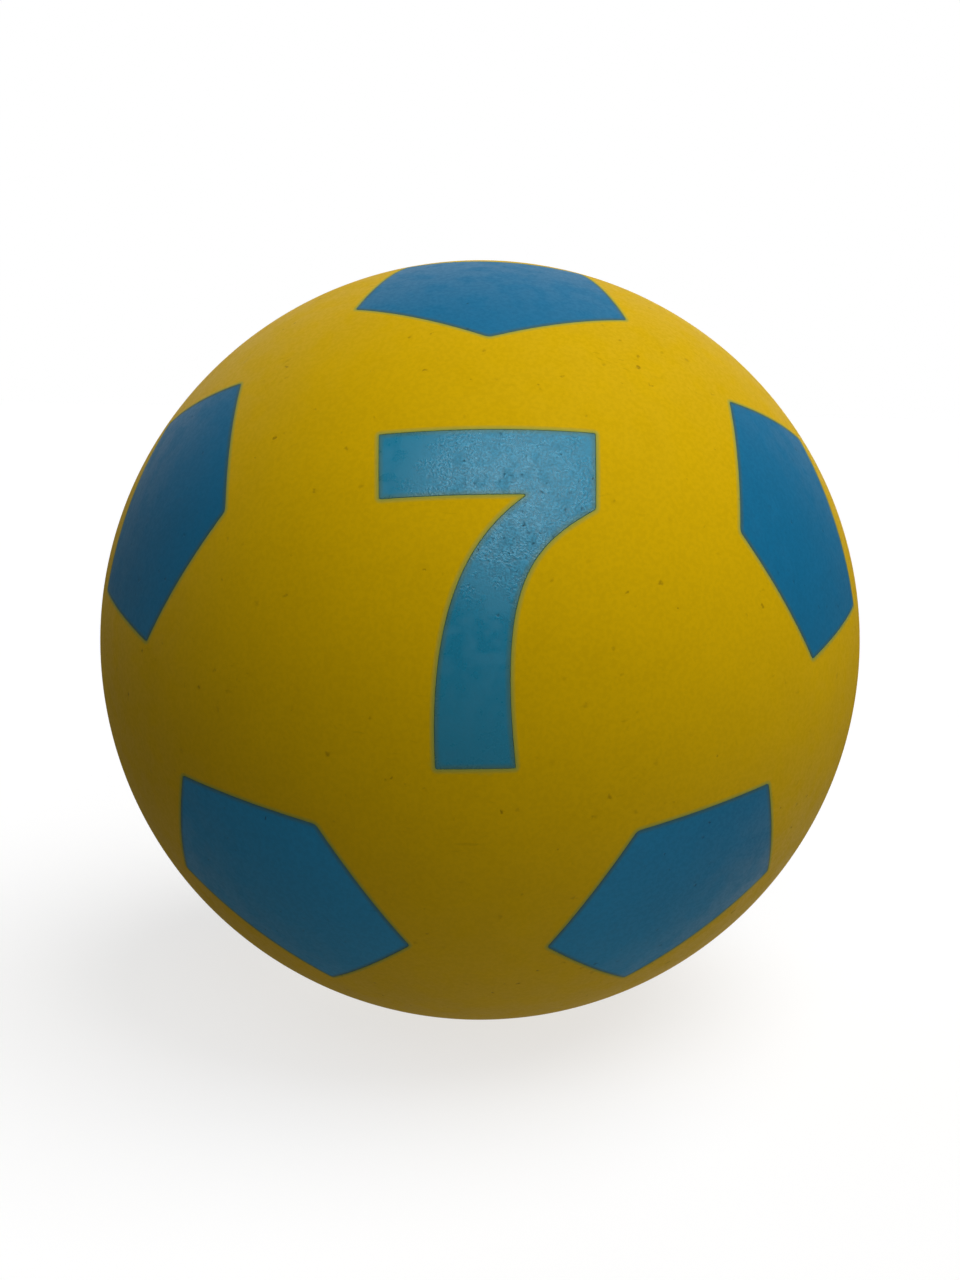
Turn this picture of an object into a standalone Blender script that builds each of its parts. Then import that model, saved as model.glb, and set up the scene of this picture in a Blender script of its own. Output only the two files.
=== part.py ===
"""Soft hollow play ball with a football pattern, a number and a plug valve.

Two moulded half shells meet in a lap joint. Coloured inlays lie flush in pockets of the shells: five
panels round the number on the front half, and six on the rear half, with a valve in the middle one.
Units are metres and +Z is up. The ball stands on z = 0, and the number faces -Y, tipped up a little.

Each half is modelled about its own pole: local +Z runs from the ball's centre out through the middle
of the number, or of the valve. A flat drawing is laid on the ball round that pole, so that a point
keeps its bearing, and its distance from the pole becomes a length along the surface.
"""

from math import acos, asin, atan2, cos, hypot, pi, radians, sin, sqrt, tau

import bmesh
import bpy
from mathutils import Matrix, Vector
from mathutils.geometry import interpolate_bezier

# Ball
BALL_DIAMETER = 0.178
WALL = 0.003
POLE_TILT = radians(15)  # the number's pole above the horizontal
REST_FLAT_DEPTH = 0.0006  # how far the soft wall settles where the ball stands
LAP_LENGTH = 0.006  # overlap of the two shells at their seam

# Fits
SEAT_GAP = 0.0003  # between an inlay, a lap or a flange and its seat
BORE_GAP = 0.0003  # round the valve's neck and the plug

# Inlays
INLAY_THICKNESS = 0.0008
INLAY_CORNER = 0.0012  # how far a rounded corner reaches along each side
PANEL_COUNT = 5
PANEL_RING_ANGLE = radians(45.45)  # from the pole to a panel's shoulders
PANEL_WIDTH = 0.0642  # across the shoulders
PANEL_BASE_WIDTH = 0.0495
PANEL_TIP_LENGTH = 0.0141  # from the shoulders to the tip, towards the pole
PANEL_SIDE_LENGTH = 0.0305  # from the shoulders to the base, away from the pole
POLE_PANEL_RADIUS = 0.029  # from its middle to a corner
FRONT_PANEL_NUDGES = (  # degrees off the even ring: away from the pole, round it, and about its own middle
    (0.1, -0.75, -0.6),
    (0.3, -0.4, 1.4),
    (0.05, 0.45, 0.35),
    (-0.35, 0.05, 1.65),
    (-0.6, -0.7, 1.3),
)
EVEN_RING = ((0.0, 0.0, 0.0),) * PANEL_COUNT

# Number
NUMBER_WIDTH = 0.0416
NUMBER_HEIGHT = 0.0652
NUMBER_SHIFT = 0.0015  # to the right of the pole
NUMBER_TURN = radians(1.9)
BAR_HEIGHT = 0.0143
BAR_END_HEIGHT = 0.0164  # at the right end, down to the stem's outer curve
BAR_UNDERSIDE = 0.02715  # from the left end to the stem's inner curve
FOOT_INSET = 0.0101  # from the bar's left end to the foot
FOOT_WIDTH = 0.0155
INNER_TOP_PULL = Vector((-0.0133, -0.0096))  # handles of the stem's two curves, from their ends
INNER_FOOT_PULL = Vector((-0.0007, 0.0250))
OUTER_TOP_PULL = Vector((-0.0130, -0.0077))
OUTER_FOOT_PULL = Vector((-0.0040, 0.0346))

# Valve and plug, on the rear pole
VALVE_NECK_DIAMETER = 0.010
VALVE_BORE_DIAMETER = 0.0044
VALVE_FLANGE_DIAMETER = 0.018
VALVE_FLANGE_THICKNESS = 0.002
VALVE_STEM_DIAMETER = 0.008
VALVE_STEM_LENGTH = 0.005  # below the flange
BOSS_DIAMETER = 0.024
BOSS_HEIGHT = 0.0035  # inwards from the shell's wall
BOSS_SLOPE = 0.003  # how much wider the boss is at the wall
PLUG_HEAD_DIAMETER = 0.0064
PLUG_HEAD_THICKNESS = 0.0012
PLUG_DOME = 0.00025
PLUG_TAPER_LENGTH = 0.0025
PLUG_TIP_DIAMETER = 0.0022
PLUG_BEAD_COUNT = 2
PLUG_BEAD_HEIGHT = 0.00015  # of the sealing beads, out from the shank
PLUG_BEAD_SPACING = 0.003
PLUG_BEAD_WIDTH = 0.0012
NAIL_NOTCH_DIAMETER = 0.0022  # scoop beside the head, to lift it with a nail

# Facets
FACETS_AROUND = 60
OUTER_ARC_STEP = radians(6)
INNER_ARC_STEP = radians(10)
DRAWING_CELL = 0.010  # largest flat cell of a drawing that is laid on the ball
CURVE_STEPS = 7
CORNER_STEPS = 2
VALVE_FACETS = 32
SHARP_ANGLE = radians(30)
CUT_OVERSHOOT = 0.002

# Worked out
BALL_RADIUS = BALL_DIAMETER / 2
INNER_RADIUS = BALL_RADIUS - WALL
CENTRE_HEIGHT = BALL_RADIUS - REST_FLAT_DEPTH
SEAM_HALF_GAP = SEAT_GAP / 2
TONGUE_RADIUS = BALL_RADIUS - WALL / 2 - SEAM_HALF_GAP
POCKET_DEPTH = INLAY_THICKNESS + SEAT_GAP
NECK_HOLE_RADIUS = VALVE_NECK_DIAMETER / 2 + BORE_GAP
BOSS_FACE = INNER_RADIUS - BOSS_HEIGHT
VALVE_TOP = sqrt(BALL_RADIUS**2 - (VALVE_NECK_DIAMETER / 2) ** 2)
VALVE_END = BOSS_FACE - SEAT_GAP - VALVE_FLANGE_THICKNESS - VALVE_STEM_LENGTH
HEAD_RECESS_RADIUS = PLUG_HEAD_DIAMETER / 2 + BORE_GAP
HEAD_SEAT = VALVE_TOP - PLUG_HEAD_THICKNESS - SEAT_GAP

# Colours, linear
SHELL_YELLOW = (0.66, 0.42, 0.004)
PANEL_BLUE = (0.012, 0.16, 0.40)
NUMBER_BLUE = (0.06, 0.24, 0.38)
VALVE_GREY = (0.10, 0.10, 0.10)


def clear_scene():
    for item in list(bpy.data.objects):
        bpy.data.objects.remove(item, do_unlink=True)


def material(name, colour, roughness):
    made = bpy.data.materials.new(name)
    made.use_nodes = True
    shader = made.node_tree.nodes["Principled BSDF"]
    shader.inputs["Base Color"].default_value = (*colour, 1.0)
    shader.inputs["Roughness"].default_value = roughness
    shader.inputs["Metallic"].default_value = 0.0
    return made


def mesh_from(name, bm):
    """A smooth-shaded mesh from a closed bmesh, with its faces pointing out."""
    bmesh.ops.recalc_face_normals(bm, faces=bm.faces)
    mesh = bpy.data.meshes.new(name)
    bm.to_mesh(mesh)
    bm.free()
    mesh.shade_smooth()
    mesh.set_sharp_from_angle(angle=SHARP_ANGLE)
    return mesh


def place(name, mesh, parent, finish=None, turn=None):
    """An object on a pole, turned about the ball's centre. One with no finish is a cutter."""
    item = bpy.data.objects.new(name, mesh)
    bpy.context.scene.collection.objects.link(item)
    item.parent = parent
    if turn:
        item.rotation_euler = turn.to_euler()
    if finish is None:
        item.hide_render = True
        item.display_type = "WIRE"
    elif not mesh.materials:
        mesh.materials.append(finish)
    return item


def cut(piece, cutter):
    modifier = piece.modifiers.new(cutter.name, "BOOLEAN")
    modifier.operation = "DIFFERENCE"
    modifier.solver = "EXACT"
    modifier.object = cutter


def pole(name, turn_about_x):
    """An empty at the ball's centre whose +Z is the pole of one half."""
    empty = bpy.data.objects.new(name, None)
    bpy.context.scene.collection.objects.link(empty)
    empty.location.z = CENTRE_HEIGHT
    empty.rotation_euler.x = turn_about_x
    return empty


# Turned shapes

def arc(radius, start, end, step):
    """Points (distance from the axis, height) on a circle about the ball's centre, by polar angle."""
    count = max(1, round(abs(end - start) / step))
    angles = [start + (end - start) * i / count for i in range(count + 1)]
    return [(radius * sin(angle), radius * cos(angle)) for angle in angles]


def turned(name, profile, facets, closed):
    """A profile of (distance from the axis, height) turned about the pole."""
    bm = bmesh.new()
    points = [bm.verts.new((reach, 0.0, height)) for reach, height in profile]
    ends = points[1:] + points[:1] if closed else points[1:]
    lines = [bm.edges.new(pair) for pair in zip(points, ends)]
    bmesh.ops.spin(
        bm, geom=points + lines, cent=(0, 0, 0), axis=(0, 0, 1), dvec=(0, 0, 0), angle=tau, steps=facets
    )
    bmesh.ops.remove_doubles(bm, verts=bm.verts, dist=1e-6)
    return mesh_from(name, bm)


def seam_rim(radius, height):
    """Polar angle of the point of a sphere at a height above the seam."""
    return acos(height / radius)


def front_shell_mesh():
    """Closed at its pole, with a tongue that reaches into the rear half."""
    tongue_end = seam_rim(INNER_RADIUS, -LAP_LENGTH)
    profile = arc(BALL_RADIUS, 0, seam_rim(BALL_RADIUS, SEAM_HALF_GAP), OUTER_ARC_STEP)
    profile.append((TONGUE_RADIUS, SEAM_HALF_GAP))
    profile.append((TONGUE_RADIUS, -LAP_LENGTH))
    profile += arc(INNER_RADIUS, tongue_end, 0, INNER_ARC_STEP)
    return turned("front_half_shell", profile, FACETS_AROUND, closed=False)


def rear_shell_mesh():
    """Open at its pole for the valve, with a thick boss round it and a rebate for the tongue."""
    hole = asin(NECK_HOLE_RADIUS / BALL_RADIUS)
    boss = asin((BOSS_DIAMETER / 2 + BOSS_SLOPE) / INNER_RADIUS)
    rebate_radius = TONGUE_RADIUS + SEAT_GAP
    rebate_end = LAP_LENGTH + SEAT_GAP
    profile = arc(BALL_RADIUS, hole, seam_rim(BALL_RADIUS, SEAM_HALF_GAP), OUTER_ARC_STEP)
    profile.append((rebate_radius, SEAM_HALF_GAP))
    profile.append((rebate_radius, rebate_end))
    profile += arc(INNER_RADIUS, seam_rim(INNER_RADIUS, rebate_end), boss, INNER_ARC_STEP)
    profile.append((BOSS_DIAMETER / 2, BOSS_FACE))
    profile.append((NECK_HOLE_RADIUS, BOSS_FACE))
    return turned("rear_half_shell", profile, FACETS_AROUND, closed=True)


def valve_body_mesh():
    """A flanged sleeve: the neck fills the hole, and the flange bears on the boss from inside."""
    flange_top = BOSS_FACE - SEAT_GAP
    flange_end = flange_top - VALVE_FLANGE_THICKNESS
    profile = [
        (HEAD_RECESS_RADIUS, VALVE_TOP),
        (VALVE_NECK_DIAMETER / 2, VALVE_TOP),
        (VALVE_NECK_DIAMETER / 2, flange_top),
        (VALVE_FLANGE_DIAMETER / 2, flange_top),
        (VALVE_FLANGE_DIAMETER / 2, flange_end),
        (VALVE_STEM_DIAMETER / 2, flange_end),
        (VALVE_STEM_DIAMETER / 2, VALVE_END),
        (VALVE_BORE_DIAMETER / 2, VALVE_END),
        (VALVE_BORE_DIAMETER / 2, HEAD_SEAT),
        (HEAD_RECESS_RADIUS, HEAD_SEAT),
    ]
    return turned("valve_body", profile, VALVE_FACETS, closed=True)


def valve_plug_mesh():
    """A stopper: a low domed head that lies flush, and a beaded shank with a tapered tip."""
    shank = VALVE_BORE_DIAMETER / 2 - BORE_GAP
    head = PLUG_HEAD_DIAMETER / 2
    head_underside = HEAD_SEAT + SEAT_GAP
    profile = [
        (0.0, VALVE_TOP),
        (head * 0.6, VALVE_TOP - PLUG_DOME * 0.3),
        (head, VALVE_TOP - PLUG_DOME),
        (head, head_underside),
        (shank, head_underside),
    ]
    for number in range(PLUG_BEAD_COUNT):
        bead = head_underside - PLUG_BEAD_SPACING * (number + 1)
        profile.append((shank, bead + PLUG_BEAD_WIDTH / 2))
        profile.append((shank + PLUG_BEAD_HEIGHT, bead))
        profile.append((shank, bead - PLUG_BEAD_WIDTH / 2))
    profile.append((shank, VALVE_END + PLUG_TAPER_LENGTH))
    profile.append((PLUG_TIP_DIAMETER / 2, VALVE_END))
    profile.append((0.0, VALVE_END))
    return turned("valve_plug", profile, VALVE_FACETS, closed=False)


def cylinder_mesh(name, diameter, low, high, offset=0.0):
    """A plain cutter along the pole, or beside it."""
    bm = bmesh.new()
    middle = Matrix.Translation((offset, 0, (low + high) / 2))
    bmesh.ops.create_cone(
        bm, cap_ends=True, segments=VALVE_FACETS, radius1=diameter / 2, radius2=diameter / 2,
        depth=high - low, matrix=middle,
    )
    return mesh_from(name, bm)


# Flat drawings, anticlockwise

def neighbours(points):
    return zip(points[-1:] + points[:-1], points, points[1:] + points[:1])


def rounded(corners):
    """The outline with its sharp corners replaced by short curves."""
    outline = []
    for before, corner, after in neighbours(corners):
        back = (before - corner).normalized()
        ahead = (after - corner).normalized()
        if back.angle(ahead) > pi - SHARP_ANGLE:
            outline.append(corner)
            continue
        start = corner + back * INLAY_CORNER
        end = corner + ahead * INLAY_CORNER
        bend = interpolate_bezier(start, start.lerp(corner, 0.6), end.lerp(corner, 0.6), end, CORNER_STEPS + 1)
        outline += [point.to_2d() for point in bend]
    return outline


def grown(outline, gap):
    """The outline moved outwards all round, for the pocket that takes it."""
    moved = []
    for before, point, after in neighbours(outline):
        here = (point - before).normalized()
        there = (after - point).normalized()
        out_here = Vector((here.y, -here.x))
        out_there = Vector((there.y, -there.x))
        moved.append(point + (out_here + out_there) * gap / (1 + out_here.dot(out_there)))
    return moved


def panel_outline():
    """A wide pentagon on the ring, with its tip towards the pole."""
    ring = BALL_RADIUS * PANEL_RING_ANGLE
    base = ring + PANEL_SIDE_LENGTH
    corners = [
        Vector((0, ring - PANEL_TIP_LENGTH)),
        Vector((PANEL_WIDTH / 2, ring)),
        Vector((PANEL_BASE_WIDTH / 2, base)),
        Vector((-PANEL_BASE_WIDTH / 2, base)),
        Vector((-PANEL_WIDTH / 2, ring)),
    ]
    return rounded(corners)


def pole_panel_outline():
    """A regular pentagon round the pole, with its corners towards the ring's tips."""
    bearings = [pi / 2 + tau * i / PANEL_COUNT for i in range(PANEL_COUNT)]
    return rounded([Vector((cos(bearing), sin(bearing))) * POLE_PANEL_RADIUS for bearing in bearings])


def number_outline():
    """A plain 7: a straight bar, and a stem between two curves."""
    left = -NUMBER_WIDTH / 2
    right = NUMBER_WIDTH / 2
    top = NUMBER_HEIGHT / 2
    foot = -NUMBER_HEIGHT / 2
    notch = Vector((left + BAR_UNDERSIDE, top - BAR_HEIGHT))
    bar_end = Vector((right, top - BAR_END_HEIGHT))
    foot_left = Vector((left + FOOT_INSET, foot))
    foot_right = Vector((left + FOOT_INSET + FOOT_WIDTH, foot))
    inner = interpolate_bezier(
        notch, notch + INNER_TOP_PULL, foot_left + INNER_FOOT_PULL, foot_left, CURVE_STEPS
    )
    outer = interpolate_bezier(
        foot_right, foot_right + OUTER_FOOT_PULL, bar_end + OUTER_TOP_PULL, bar_end, CURVE_STEPS
    )
    stem = [point.to_2d() for point in inner + outer]
    corners = [Vector((left, top)), Vector((left, top - BAR_HEIGHT)), *stem, Vector((right, top))]
    turn = Matrix.Rotation(NUMBER_TURN, 2)
    shift = Vector((NUMBER_SHIFT, 0))
    return [turn @ point + shift for point in rounded(corners)]


def laid(point, radius):
    """A point of a flat drawing, laid on a sphere round the pole."""
    angle = hypot(point.x, point.y) / BALL_RADIUS
    bearing = atan2(point.y, point.x)
    level = sin(angle) * radius
    return Vector((level * cos(bearing), level * sin(bearing), cos(angle) * radius))


def laid_slab(name, outline, low, high):
    """A flat outline, cut into cells and laid on the ball as a curved slab between two radii."""
    bm = bmesh.new()
    bm.faces.new([bm.verts.new((point.x, point.y, 0.0)) for point in outline])
    for axis in (0, 1):
        across = Vector((axis == 0, axis == 1, 0))
        places = [point[axis] for point in outline]
        for line in range(int(min(places) // DRAWING_CELL) + 1, int(max(places) // DRAWING_CELL) + 1):
            shape = bm.verts[:] + bm.edges[:] + bm.faces[:]
            bmesh.ops.bisect_plane(bm, geom=shape, plane_co=across * line * DRAWING_CELL, plane_no=across)
    bmesh.ops.triangulate(bm, faces=bm.faces)
    raised = bmesh.ops.extrude_face_region(bm, geom=bm.faces[:])["geom"]
    upper = {item for item in raised if isinstance(item, bmesh.types.BMVert)}
    for vert in bm.verts:
        vert.co = laid(vert.co, high if vert in upper else low)
    return mesh_from(name, bm)


def inlay_and_pocket(name, outline):
    """The mesh of an inlay, flush with the ball, and the mesh that cuts its pocket."""
    inlay = laid_slab(name, outline, BALL_RADIUS - INLAY_THICKNESS, BALL_RADIUS)
    floor = BALL_RADIUS - POCKET_DEPTH
    pocket = laid_slab(name + "_pocket", grown(outline, SEAT_GAP), floor, BALL_RADIUS + CUT_OVERSHOOT)
    return inlay, pocket


# Pieces

def panel_turn(number, nudge):
    """Turn about the ball's centre that brings a panel to its place on the ring, and nudges it."""
    away, along, spin = (radians(degrees) for degrees in nudge)
    middle = PANEL_RING_ANGLE + (PANEL_SIDE_LENGTH - PANEL_TIP_LENGTH) / 2 / BALL_RADIUS
    to_pole = Matrix.Rotation(middle, 3, "X")
    about_middle = to_pole.inverted() @ Matrix.Rotation(spin, 3, "Z") @ to_pole
    to_place = Matrix.Rotation(tau * number / PANEL_COUNT + along, 3, "Z") @ Matrix.Rotation(-away, 3, "X")
    return to_place @ about_middle


def add_ring(half, shell, parent, meshes, finish, nudges):
    """Five panels round a pole, each in its pocket."""
    inlay, pocket = meshes
    panels = []
    for number, nudge in enumerate(nudges):
        turn = panel_turn(number, nudge)
        panels.append(place(f"{half}_panel_{number + 1}", inlay, parent, finish, turn))
        cut(shell, place(f"{half}_pocket_{number + 1}", pocket, parent, turn=turn))
    return panels


def add_number(shell, parent):
    inlay, pocket = inlay_and_pocket("number_seven", number_outline())
    place("number_seven", inlay, parent, material("number_blue", NUMBER_BLUE, 0.4))
    cut(shell, place("number_pocket", pocket, parent))


def add_valve(shell, parent, panel_finish):
    """The middle panel of the rear half, the valve that passes through it, and its plug."""
    inlay, pocket = inlay_and_pocket("rear_pole_panel", pole_panel_outline())
    panel = place("rear_pole_panel", inlay, parent, panel_finish)
    cut(shell, place("rear_pole_pocket", pocket, parent))
    above = BALL_RADIUS + CUT_OVERSHOOT
    hole = cylinder_mesh("neck_hole", 2 * NECK_HOLE_RADIUS, INNER_RADIUS, above)
    cut(panel, place("neck_hole", hole, parent))
    finish = material("valve_grey", VALVE_GREY, 0.6)
    body = place("valve_body", valve_body_mesh(), parent, finish)
    notch = cylinder_mesh("nail_notch", NAIL_NOTCH_DIAMETER, HEAD_SEAT, above, HEAD_RECESS_RADIUS)
    cut(body, place("nail_notch", notch, parent))
    place("valve_plug", valve_plug_mesh(), parent, finish)


def add_rest_flat(pieces):
    """Cuts pieces flat where the ball stands."""
    bm = bmesh.new()
    bmesh.ops.create_cube(bm, size=BALL_RADIUS, matrix=Matrix.Translation((0, 0, -BALL_RADIUS / 2)))
    ground = place("rest_flat", mesh_from("rest_flat", bm), None)
    for piece in pieces:
        cut(piece, ground)


def build():
    clear_scene()
    upright = pi / 2 - POLE_TILT
    front = pole("front_pole", upright)
    rear = pole("rear_pole", upright + pi)
    yellow = material("shell_yellow", SHELL_YELLOW, 0.5)
    blue = material("panel_blue", PANEL_BLUE, 0.45)
    panel_meshes = inlay_and_pocket("panel", panel_outline())
    front_shell = place("front_half_shell", front_shell_mesh(), front, yellow)
    rear_shell = place("rear_half_shell", rear_shell_mesh(), rear, yellow)
    add_ring("front", front_shell, front, panel_meshes, blue, FRONT_PANEL_NUDGES)
    rear_panels = add_ring("rear", rear_shell, rear, panel_meshes, blue, EVEN_RING)
    add_number(front_shell, front)
    add_valve(rear_shell, rear, blue)
    add_rest_flat([rear_shell, *rear_panels])


build()
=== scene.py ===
"""Looks of a soft hollow play ball with a football pattern, a number and a plug valve.

The skins and the coloured inlays start as flat drawings with a little height. A Geometry Nodes tree
lays a drawing on the ball round one of its two poles: a point keeps its bearing, and its distance from
the pole becomes a length along the surface. The valve and its plug are turned about the rear pole.
Units are metres and +Z is up. The number faces -Y.
"""

from math import asin, atan2, ceil, cos, hypot, pi, radians, sin, sqrt, tau

import bmesh
import bpy
from bpy.props import FloatProperty, FloatVectorProperty, IntProperty, PointerProperty
from mathutils import Euler, Matrix, Quaternion, Vector
from mathutils.geometry import delaunay_2d_cdt, interpolate_bezier
from mathutils.kdtree import KDTree


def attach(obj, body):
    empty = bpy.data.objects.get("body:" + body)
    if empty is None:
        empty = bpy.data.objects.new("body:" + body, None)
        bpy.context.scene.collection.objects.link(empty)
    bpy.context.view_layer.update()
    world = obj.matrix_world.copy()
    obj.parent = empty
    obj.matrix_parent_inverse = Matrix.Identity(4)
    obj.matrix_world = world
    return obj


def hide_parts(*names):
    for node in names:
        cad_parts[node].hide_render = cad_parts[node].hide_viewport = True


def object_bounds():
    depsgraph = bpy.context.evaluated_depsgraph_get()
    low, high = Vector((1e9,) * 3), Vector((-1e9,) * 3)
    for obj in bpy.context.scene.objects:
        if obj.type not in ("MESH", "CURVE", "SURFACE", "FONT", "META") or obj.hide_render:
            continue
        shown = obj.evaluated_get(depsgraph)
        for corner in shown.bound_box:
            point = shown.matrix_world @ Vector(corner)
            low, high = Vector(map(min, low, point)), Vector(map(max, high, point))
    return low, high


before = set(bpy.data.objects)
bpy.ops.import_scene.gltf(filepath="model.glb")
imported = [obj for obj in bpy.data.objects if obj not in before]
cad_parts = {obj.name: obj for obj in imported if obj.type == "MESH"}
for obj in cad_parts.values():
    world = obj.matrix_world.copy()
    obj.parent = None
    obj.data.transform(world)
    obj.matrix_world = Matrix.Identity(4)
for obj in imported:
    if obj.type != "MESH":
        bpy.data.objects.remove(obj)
CAD_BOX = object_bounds()

bl_info = {
    "name": "Play Ball",
    "version": (1, 0, 0),
    "blender": (4, 5, 0),
    "location": "View3D > Sidebar > Play Ball",
    "description": "Models the skins, inlays and valve of a soft play ball, and a stage to see it on",
    "category": "Add Mesh",
}

BALL_WIDTH = CAD_BOX[1][0] - CAD_BOX[0][0]
REST_DEPTH = 0.0006

# How each panel lies off the even ring: degrees away from the pole, round it and about its own middle.
# The last value is its scale.
FRONT_RING = (
    (0.25, -0.95, -0.65, 1.0),
    (0.35, -0.45, 1.4, 1.01),
    (0.15, 0.5, 0.35, 1.01),
    (-0.25, 0.15, 1.65, 0.977),
    (-0.5, -0.8, 1.3, 0.985),
)
REAR_RING = ((0.0, 0.0, 0.0, 1.0),) * len(FRONT_RING)

# Towards the side of the ball, low at the front left, where the inlays carry painted light: their colour is
# made paler there, or darker for a negative share, which is painted shade. Then the cosines of the angles
# from it at which that starts and is full
PAINTED_LIGHT_SIDE = Vector((-0.3, -0.5, -0.81)).normalized()
PAINTED_LIGHT_RANGE = (0.2, 0.9)

# How finely the meshes are drawn
OUTLINE_STEP = 0.0003  # of an outline before it is thinned
LONGEST_SIDE = 0.0012  # of a thinned outline
LEAST_BEND = radians(4)  # at a point that a thinned outline keeps
SOFTENING_ROUNDS = 2  # in which an outline's corners are rounded
CURVE_POINTS = 48  # along each curve of the number
SEAM_POINTS = 480
VALVE_POINTS = 96
LIP_STEPS = 3  # round a lip or an edge
EDGE_SHADE_STEPS = 4  # across the painted shade at an inlay's edge, where the two colours blend and darken
EDGE_SHADE_CLEARANCE = 0.95  # that such a step keeps off all edges, as a share of its gap
SKIN_PITCH = 0.0015  # of the grid on a face that shows
HIDDEN_PITCH = 0.004  # of the grid on a face that doesn't
GRID_CLEARANCE = 0.6  # that a grid keeps off other points, as a share of its pitch
SAME_PLACE = 1e-9  # between points that are one point of a drawing
SHARP_ANGLE = radians(40)  # past which an edge isn't shaded smooth


# Sizes and colours

def length(name, description, default):
    return FloatProperty(
        name=name, description=description, default=default, subtype="DISTANCE", unit="LENGTH", precision=5
    )


def angle(name, description, default):
    return FloatProperty(name=name, description=description, default=default, subtype="ANGLE")


def amount(name, description, default):
    return FloatProperty(name=name, description=description, default=default, min=0.0)


def colour(name, description, default):
    return FloatVectorProperty(
        name=name, description=description, default=default, subtype="COLOR", size=3, min=0.0, max=1.0
    )


def pull(name, description, default):
    return FloatVectorProperty(
        name=name, description=description, default=default, subtype="TRANSLATION", unit="LENGTH", size=2
    )


def direction(name, description, default):
    return FloatVectorProperty(
        name=name, description=description, default=default, subtype="DIRECTION", size=3
    )


class BallSizes(bpy.types.PropertyGroup):
    diameter: length("Diameter", "Across the ball", BALL_WIDTH)
    rest_depth: length("Rest depth", "How far the soft wall settles where the ball stands", REST_DEPTH)
    settle: length("Settle", "How gently the wall turns into the flat it stands on", 0.0003)
    pole_tilt: angle("Pole tilt", "The number's pole above the horizontal", radians(15))
    wall: length("Wall", "Thickness of the wall", 0.003)
    lap_length: length("Lap", "Overlap of the two halves at their seam", 0.006)
    seat_gap: length("Seat gap", "Between the two walls of the lap, and under an inlay", 0.0003)
    line_gap: length("Line gap", "Width of the hairline round an inlay", 0.00003)
    lip: length("Lip", "Rounding of the skin's edge round an inlay", 0.00004)
    seam_gap: length("Seam gap", "Width of the hairline at the seam", 0.0001)
    seam_lip: length("Seam lip", "Rounding of the skin's edge at the seam", 0.0002)
    guard: length("Guard", "Narrow strip that keeps the shading of a rounded edge off the face", 0.00003)
    wave_height: length("Wave height", "Unevenness of the moulded wall, from hollow to crest", 0.00008)
    wave_size: length("Wave size", "From one crest of the unevenness to the next", 0.025)


class PatternSizes(bpy.types.PropertyGroup):
    thickness: length("Thickness", "Of an inlay", 0.0008)
    edge: length("Edge", "Rounding of an inlay's edge", 0.00012)
    # Painted shade: over this width the colours darken and blend at an inlay's edge, along the hairline
    edge_shade: length("Edge shade", "How far the painted shade at an inlay's edge reaches into the inlay and the skin", 0.00095)
    corner: length("Corner", "Length of outline that a rounded corner takes up", 0.0024)
    ring_angle: angle("Ring angle", "From the pole to a panel's shoulders", radians(45.45))
    width: length("Width", "Across a panel's shoulders", 0.0642)
    base_width: length("Base width", "Across a panel's base", 0.0495)
    tip_length: length("Tip length", "From the shoulders to the tip, towards the pole", 0.0141)
    side_length: length("Side length", "From the shoulders to the base", 0.0305)
    pole_radius: length("Pole panel radius", "From the middle of the rear pole's panel to a corner", 0.029)


class NumberSizes(bpy.types.PropertyGroup):
    corner: length("Corner", "Length of outline that a rounded corner takes up", 0.0012)
    width: length("Width", "Along the top of the bar", 0.0424)
    height: length("Height", "From the foot to the top of the bar", 0.065)
    shift: length("Shift", "To the right of the pole", 0.00178)
    drop: length("Drop", "Below the pole", 0.00015)
    turn: angle("Turn", "Anticlockwise", radians(1.9))
    bar_height: length("Bar height", "At its left end", 0.01385)
    left_lean: length("Left lean", "How far the bar's left end leans out at the top", 0.00047)
    bar_end_height: length("Bar end height", "At its right end, down to the stem's outer curve", 0.0163)
    right_lean: length("Right lean", "How far the bar's right end leans out at the top", 0.00105)
    bar_underside: length("Bar underside", "From the left end to the stem's inner curve", 0.0284)
    underside_rise: length("Underside rise", "From the bar's left end to the stem's inner curve", 0.00016)
    foot_inset: length("Foot inset", "From the bar's left end to the foot", 0.01034)
    foot_width: length("Foot width", "Across the foot", 0.0152)
    inner_top_pull: pull("Inner top pull", "Handle of the inner curve at the bar", (-0.01385, -0.01006))
    inner_foot_pull: pull("Inner foot pull", "Handle of the inner curve at the foot", (-0.00045, 0.02505))
    outer_top_pull: pull("Outer top pull", "Handle of the outer curve at the bar", (-0.01264, -0.00756))
    outer_foot_pull: pull("Outer foot pull", "Handle of the outer curve at the foot", (-0.0036, 0.03465))


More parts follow.
